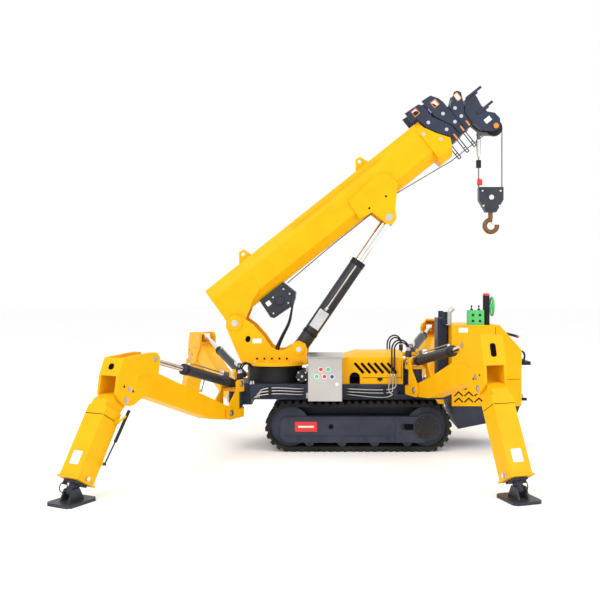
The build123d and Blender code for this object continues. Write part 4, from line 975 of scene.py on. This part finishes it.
lead = Piece("lead_roller", "section_5", IRON)
lead.rod(boom(*LEAD_UV, LEAD_SPAN[0]), boom(*LEAD_UV, LEAD_SPAN[1]), LEAD_R, 24)
for y in LEAD_FLANGE_Y:
    lead.rod(boom(*LEAD_UV, y), boom(*LEAD_UV, y + LEAD_FLANGE), LEAD_FLANGE_R, 24)
lead.done()
ear = Piece("ear_window", "section_4", WHITE)
tip_label = Piece("tip_label", "section_5", WHITE)
for s in (-1, 1):
    ear.slab(boom(*WINDOWS[2][0], s * (HEAD_HALF[3] + 0.5)), up, Y, (62, 36, 3), 12)
    tip_label.slab(boom(*TIP_LABEL_UV, s * (HEAD_HALF[4] + 0.5)), along, Y, (66, 46, 3), 5)
ear.done()
tip_label.done()

# Lift cylinder: gland, base band, valve block, steel pipe
LIFT_GLAND, LIFT_BAND = 55, (160, 190)
VALVE_AT, VALVE_Y, VALVE_SIZE = 330, -92, (190, 100, 62)
LIFT_PIPE_Y, LIFT_PIPE_R = -84, 9
eye = boom(*LIFT_EYE_UV)
foot = R(LIFT_BASE[0], 0, LIFT_BASE[1])
run = (eye - foot).normalized()


def on_lift(a, y=0):
    """A point of the lift cylinder, a millimetres up from its base pin."""
    return foot + run * (a / 1000) + Y * (y / 1000)


gland = Piece("lift_gland", "lift_barrel", BLACK)
barrel_end = on_lift(LIFT_BARREL_LEN)
gland.tube(on_lift(LIFT_BARREL_LEN - LIFT_GLAND), barrel_end, LIFT_BARREL_R + 2, LIFT_BARREL_R - 1)
gland.tube(on_lift(LIFT_BAND[0]), on_lift(LIFT_BAND[1]), LIFT_BARREL_R + 4, LIFT_BARREL_R - 1)
gland.done()
valve = Piece("lift_valve", "lift_barrel", SILVER)
valve.box(on_lift(VALVE_AT, VALVE_Y), run, Y, VALVE_SIZE)
valve.rod(on_lift(VALVE_AT + 100, VALVE_Y), on_lift(VALVE_AT + 140, VALVE_Y), 16, 6)
valve.done(bevel=5)
route = [
    on_lift(VALVE_AT + 130, VALVE_Y),
    on_lift(VALVE_AT + 190, LIFT_PIPE_Y),
    on_lift(LIFT_BARREL_LEN - 120, LIFT_PIPE_Y),
    on_lift(LIFT_BARREL_LEN - 60, LIFT_PIPE_Y + 22),
]
hose("lift_pipe", "lift_barrel", route, LIFT_PIPE_R, STEEL)

# Free hoses, each running between two bodies: over the swing brackets, and from the winch to the turret
HOSE_R, WINCH_HOSE_R = 7.5, 10
HOSE_FOOT = {"front": (-955, 285, 592), "rear": (330, 316, 660)}
HOSE_STEP = {"front": -22, "rear": -24}
HOSE_BLOCK, HOSE_BLOCK_Y, HOSE_BLOCK_UP, HOSE_PITCH = (66, 28, 60), 80, 100, 30
STRAIGHT_STEPS, ARC_STEPS, CURVE_STEPS = 4, 24, 12
COLLAR_NUT_R, COLLAR_R = 12, 10
WINCH_HOSE_Y, WINCH_HOSE_PITCH, WINCH_PORT_UV = -40, 36, (535, -178)
# Each knot of a winch hose: x, z and how far the second hose lies in front of the first
WINCH_HOSE = ((-750, 788, 20), (-742, 900, 20), (-700, 1010, 14), (-640, 1140, 8), (-618, 1260, 0))


def free_hose(name, path, r, body, far):
    """A hose that hangs between two bodies."""
    obj = hose(name, None, path, r, HOSE, smooth=False, blend=(body, far, path[0], path[-1]))
    length = sum((b - a).length for a, b in zip(path, path[1:]))
    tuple(path[0])


def arch(start, mouth):
    """Straight up from the start, then half a circle over to the mouth."""
    lift = Vector((start.x, start.y, mouth.z))
    mid = (lift + mouth) / 2
    arm = lift - mid
    path = [start.lerp(lift, k / STRAIGHT_STEPS) for k in range(STRAIGHT_STEPS)]
    for k in range(ARC_STEPS + 1):
        a = math.pi * k / ARC_STEPS
        path.append(mid + arm * math.cos(a) + Z * (arm.length * math.sin(a)))
    return path


def smooth_path(knots):
    """A smooth line that passes through every knot."""
    ends = [knots[0]] + knots + [knots[-1]]
    path = []
    for p0, p1, p2, p3 in zip(ends, ends[1:], ends[2:], ends[3:]):
        for k in range(CURVE_STEPS):
            t = k / CURVE_STEPS
            a, b = 2 * p0 - 5 * p1 + 4 * p2 - p3, 3 * p1 - p0 - 3 * p2 + p3
            path.append(0.5 * (2 * p1 + (p2 - p0) * t + a * t**2 + b * t**3))
    path.append(knots[-1])
    return path


for leg in LEGS:
    side = 1 if leg.at.y > 0 else -1
    foot_x, foot_y, foot_z = HOSE_FOOT[leg.end]
    lean = 1 if (R(foot_x, side * foot_y, foot_z) - leg.at).dot(leg.n) > 0 else -1
    base_r, base_z = leg.base
    block = Piece("hose_block_" + leg.name, "bracket_" + leg.name, IRON)
    block.box(leg.p(base_r, base_z + 66, lean * HOSE_BLOCK_Y), leg.d, Z, HOSE_BLOCK)
    block.done(bevel=3)
    collars = Piece("hose_collars_" + leg.name, "bracket_" + leg.name, SILVER)
    sockets = Piece("hose_sockets_" + leg.name, "machine", SILVER)
    for i in range(2):
        start = R(foot_x + HOSE_STEP[leg.end] * i, side * foot_y, foot_z)
        mouth_r = base_r + HOSE_PITCH * (i - 0.5)
        mouth = leg.p(mouth_r, base_z + HOSE_BLOCK_UP, lean * HOSE_BLOCK_Y)
        collars.rod(mouth - Z * 0.006, mouth + Z * 0.010, COLLAR_NUT_R, 6)
        collars.rod(mouth + Z * 0.010, mouth + Z * 0.026, COLLAR_R, 20)
        sockets.rod(start - Z * 0.006, start + Z * 0.012, COLLAR_NUT_R, 6)
        sockets.rod(start + Z * 0.012, start + Z * 0.030, COLLAR_R, 20)
        name = "bracket_hose_%s_%d" % (leg.name, i)
        free_hose(name, arch(start, mouth), HOSE_R, "machine", "bracket_" + leg.name)
    collars.done()
    sockets.done()
for i in range(2):
    y = WINCH_HOSE_Y - WINCH_HOSE_PITCH * i
    knots = [R(x - gap * i, y, z) for x, z, gap in WINCH_HOSE]
    knots.append(boom(*WINCH_PORT_UV, y))
    free_hose("winch_hose_%d" % i, smooth_path(knots), WINCH_HOSE_R, "turret", "boom")

# Falls: rope strands, wedge socket and clamp on the dead fall, red weight; block bolts, hook latch
STRANDS = (("live", LIVE_FALL_X, 2900), ("dead", DEAD_FALL_X, 2720))
STRAND_R, STRAND_PARTS = 6, 8
SOCKET_TOP, SOCKET_LOW, SOCKET_PIN = 2873, 2712, 2850
CLAMP_Z, CLAMP_SIZE = 2645, (44, 34, 74)
WEIGHT_Z, WEIGHT_SIZE = 2472, (46, 36, 56)
SHEAVE_R, SHEAVE_BORE, SHEAVE_CAP_Y = 79, 21, 109
# Offsets in metres from the block's middle, and a radius in millimetres
BLOCK_BOLTS = (
    (0, 0.02, 24),
    (-0.075, -0.06, 10),
    (0.075, -0.06, 10),
    (-0.085, 0.08, 10),
    (0.085, 0.08, 10),
)
wheel = Piece("sheave_faces", "falls", BLACK)
caps = Piece("sheave_caps", "falls", AMBER)
for s in (-1, 1):
    wheel.tube(boom(*SHEAVE_UV, s * 10), boom(*SHEAVE_UV, s * 13), SHEAVE_R, SHEAVE_BORE)
    cap = boom(*SHEAVE_UV, s * SHEAVE_CAP_Y)
    caps.rod(cap, boom(*SHEAVE_UV, s * (SHEAVE_CAP_Y + 5)), 26, 24, 20)
wheel.done()
caps.done()
for tag, x, z in STRANDS:
    a, b = R(x, 0, z), R(x, 0, BLOCK_TOP - 20)
    strand = [a.lerp(b, k / STRAND_PARTS) for k in range(STRAND_PARTS + 1)]
    hose("fall_rope_" + tag, None, strand, STRAND_R, ROPE, smooth=False, blend=("falls", "block", a, b))
socket = Piece("wedge_socket", "falls", SILVER)
socket.rod(R(DEAD_FALL_X, 0, SOCKET_TOP), R(DEAD_FALL_X, 0, SOCKET_LOW), 26, 24, 15)
socket.rod(R(DEAD_FALL_X, -34, SOCKET_PIN), R(DEAD_FALL_X, 34, SOCKET_PIN), 10, 16)
socket.done()
clamp = Piece("rope_clamp", "falls", BLACK)
clamp.box(R(DEAD_FALL_X, 0, CLAMP_Z), X, Z, CLAMP_SIZE)
clamp.done(bevel=4)
weight = Piece("red_weight", "falls", RED)
weight.box(R(DEAD_FALL_X + 10, 0, WEIGHT_Z), X, Z, WEIGHT_SIZE)
weight.rod(R(DEAD_FALL_X, 0, WEIGHT_Z + 28), R(DEAD_FALL_X, 0, WEIGHT_Z + 40), 11, 16)
weight.done(bevel=5)
block_low, block_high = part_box("hook_block")
mid = (Vector(block_low) + Vector(block_high)) / 2
rivets = Piece("block_bolts", "block", SILVER)
for s in (-1, 1):
    y = (block_high[1] - mid.y) * s
    for dx, dz, r in BLOCK_BOLTS:
        q = mid + Vector((dx, y, dz))
        rivets.rod(q - Y * (s * 0.001), q + Y * (s * 0.010), r, 6 if r < 20 else 28)
rivets.done()
hook_low, hook_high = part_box("hook")
hook_mid = (Vector(hook_low) + Vector(hook_high)) / 2
latch = Piece("hook_latch", "hook", SILVER)
latch.rod(hook_mid + Vector((-0.030, 0, 0.030)), hook_mid + Vector((0.034, 0, -0.018)), 5, 12)
latch.done()

# Camera at the photo's viewpoint, pale floor, soft studio light
# Pixels of the photo, then millimetres; the floor and the softboxes in metres, their power in watts
PICTURE, FOCAL, SHIFT = 600, 780, (-35, -10)
CAMERA_AT = (-210, -7400, 1450)
FLOOR = 60
SOFTBOXES = (((-4, -6, 6), 5, 240), ((5, -5, 5), 5, 140), ((0, 4, 7), 6, 150))
AIM = Vector((0, 0, 1.2))
scene = bpy.context.scene
cam_data = bpy.data.cameras.new("camera")
cam_data.sensor_width = 36
cam_data.lens = cam_data.sensor_width * FOCAL / PICTURE
cam_data.shift_x, cam_data.shift_y = SHIFT[0] / PICTURE, SHIFT[1] / PICTURE
cam = bpy.data.objects.new("camera", cam_data)
cam.location = R(*CAMERA_AT)
cam.rotation_euler = (math.radians(90), 0, 0)
scene.collection.objects.link(cam)
scene.camera = cam
scene.view_settings.view_transform = "Standard"

floor_mesh = bpy.data.meshes.new("floor")
corners = [(-FLOOR, -FLOOR, 0), (FLOOR, -FLOOR, 0), (FLOOR, FLOOR, 0), (-FLOOR, FLOOR, 0)]
floor_mesh.from_pydata(corners, [], [(0, 1, 2, 3)])
floor = bpy.data.objects.new("floor", floor_mesh)
scene.collection.objects.link(floor)
pale = material(
    "pale floor", (0.975, 0.975, 0.975), (0.995, 0.995, 0.995), 0.9, scale=0.6, bump=0.0, spec=0.1
)
floor_mesh.materials.append(pale)

world = bpy.data.worlds.new("studio")
world.use_nodes = True
sky = world.node_tree.nodes["Background"].inputs
sky["Color"].default_value = (1.0, 1.0, 1.0, 1)
sky["Strength"].default_value = 1.0
scene.world = world
for where, size, power in SOFTBOXES:
    lamp = bpy.data.lights.new("softbox", "AREA")
    lamp.energy = power
    lamp.size = size
    obj = bpy.data.objects.new("softbox", lamp)
    obj.location = where
    obj.rotation_euler = (AIM - Vector(where)).to_track_quat("-Z", "Y").to_euler()
    scene.collection.objects.link(obj)
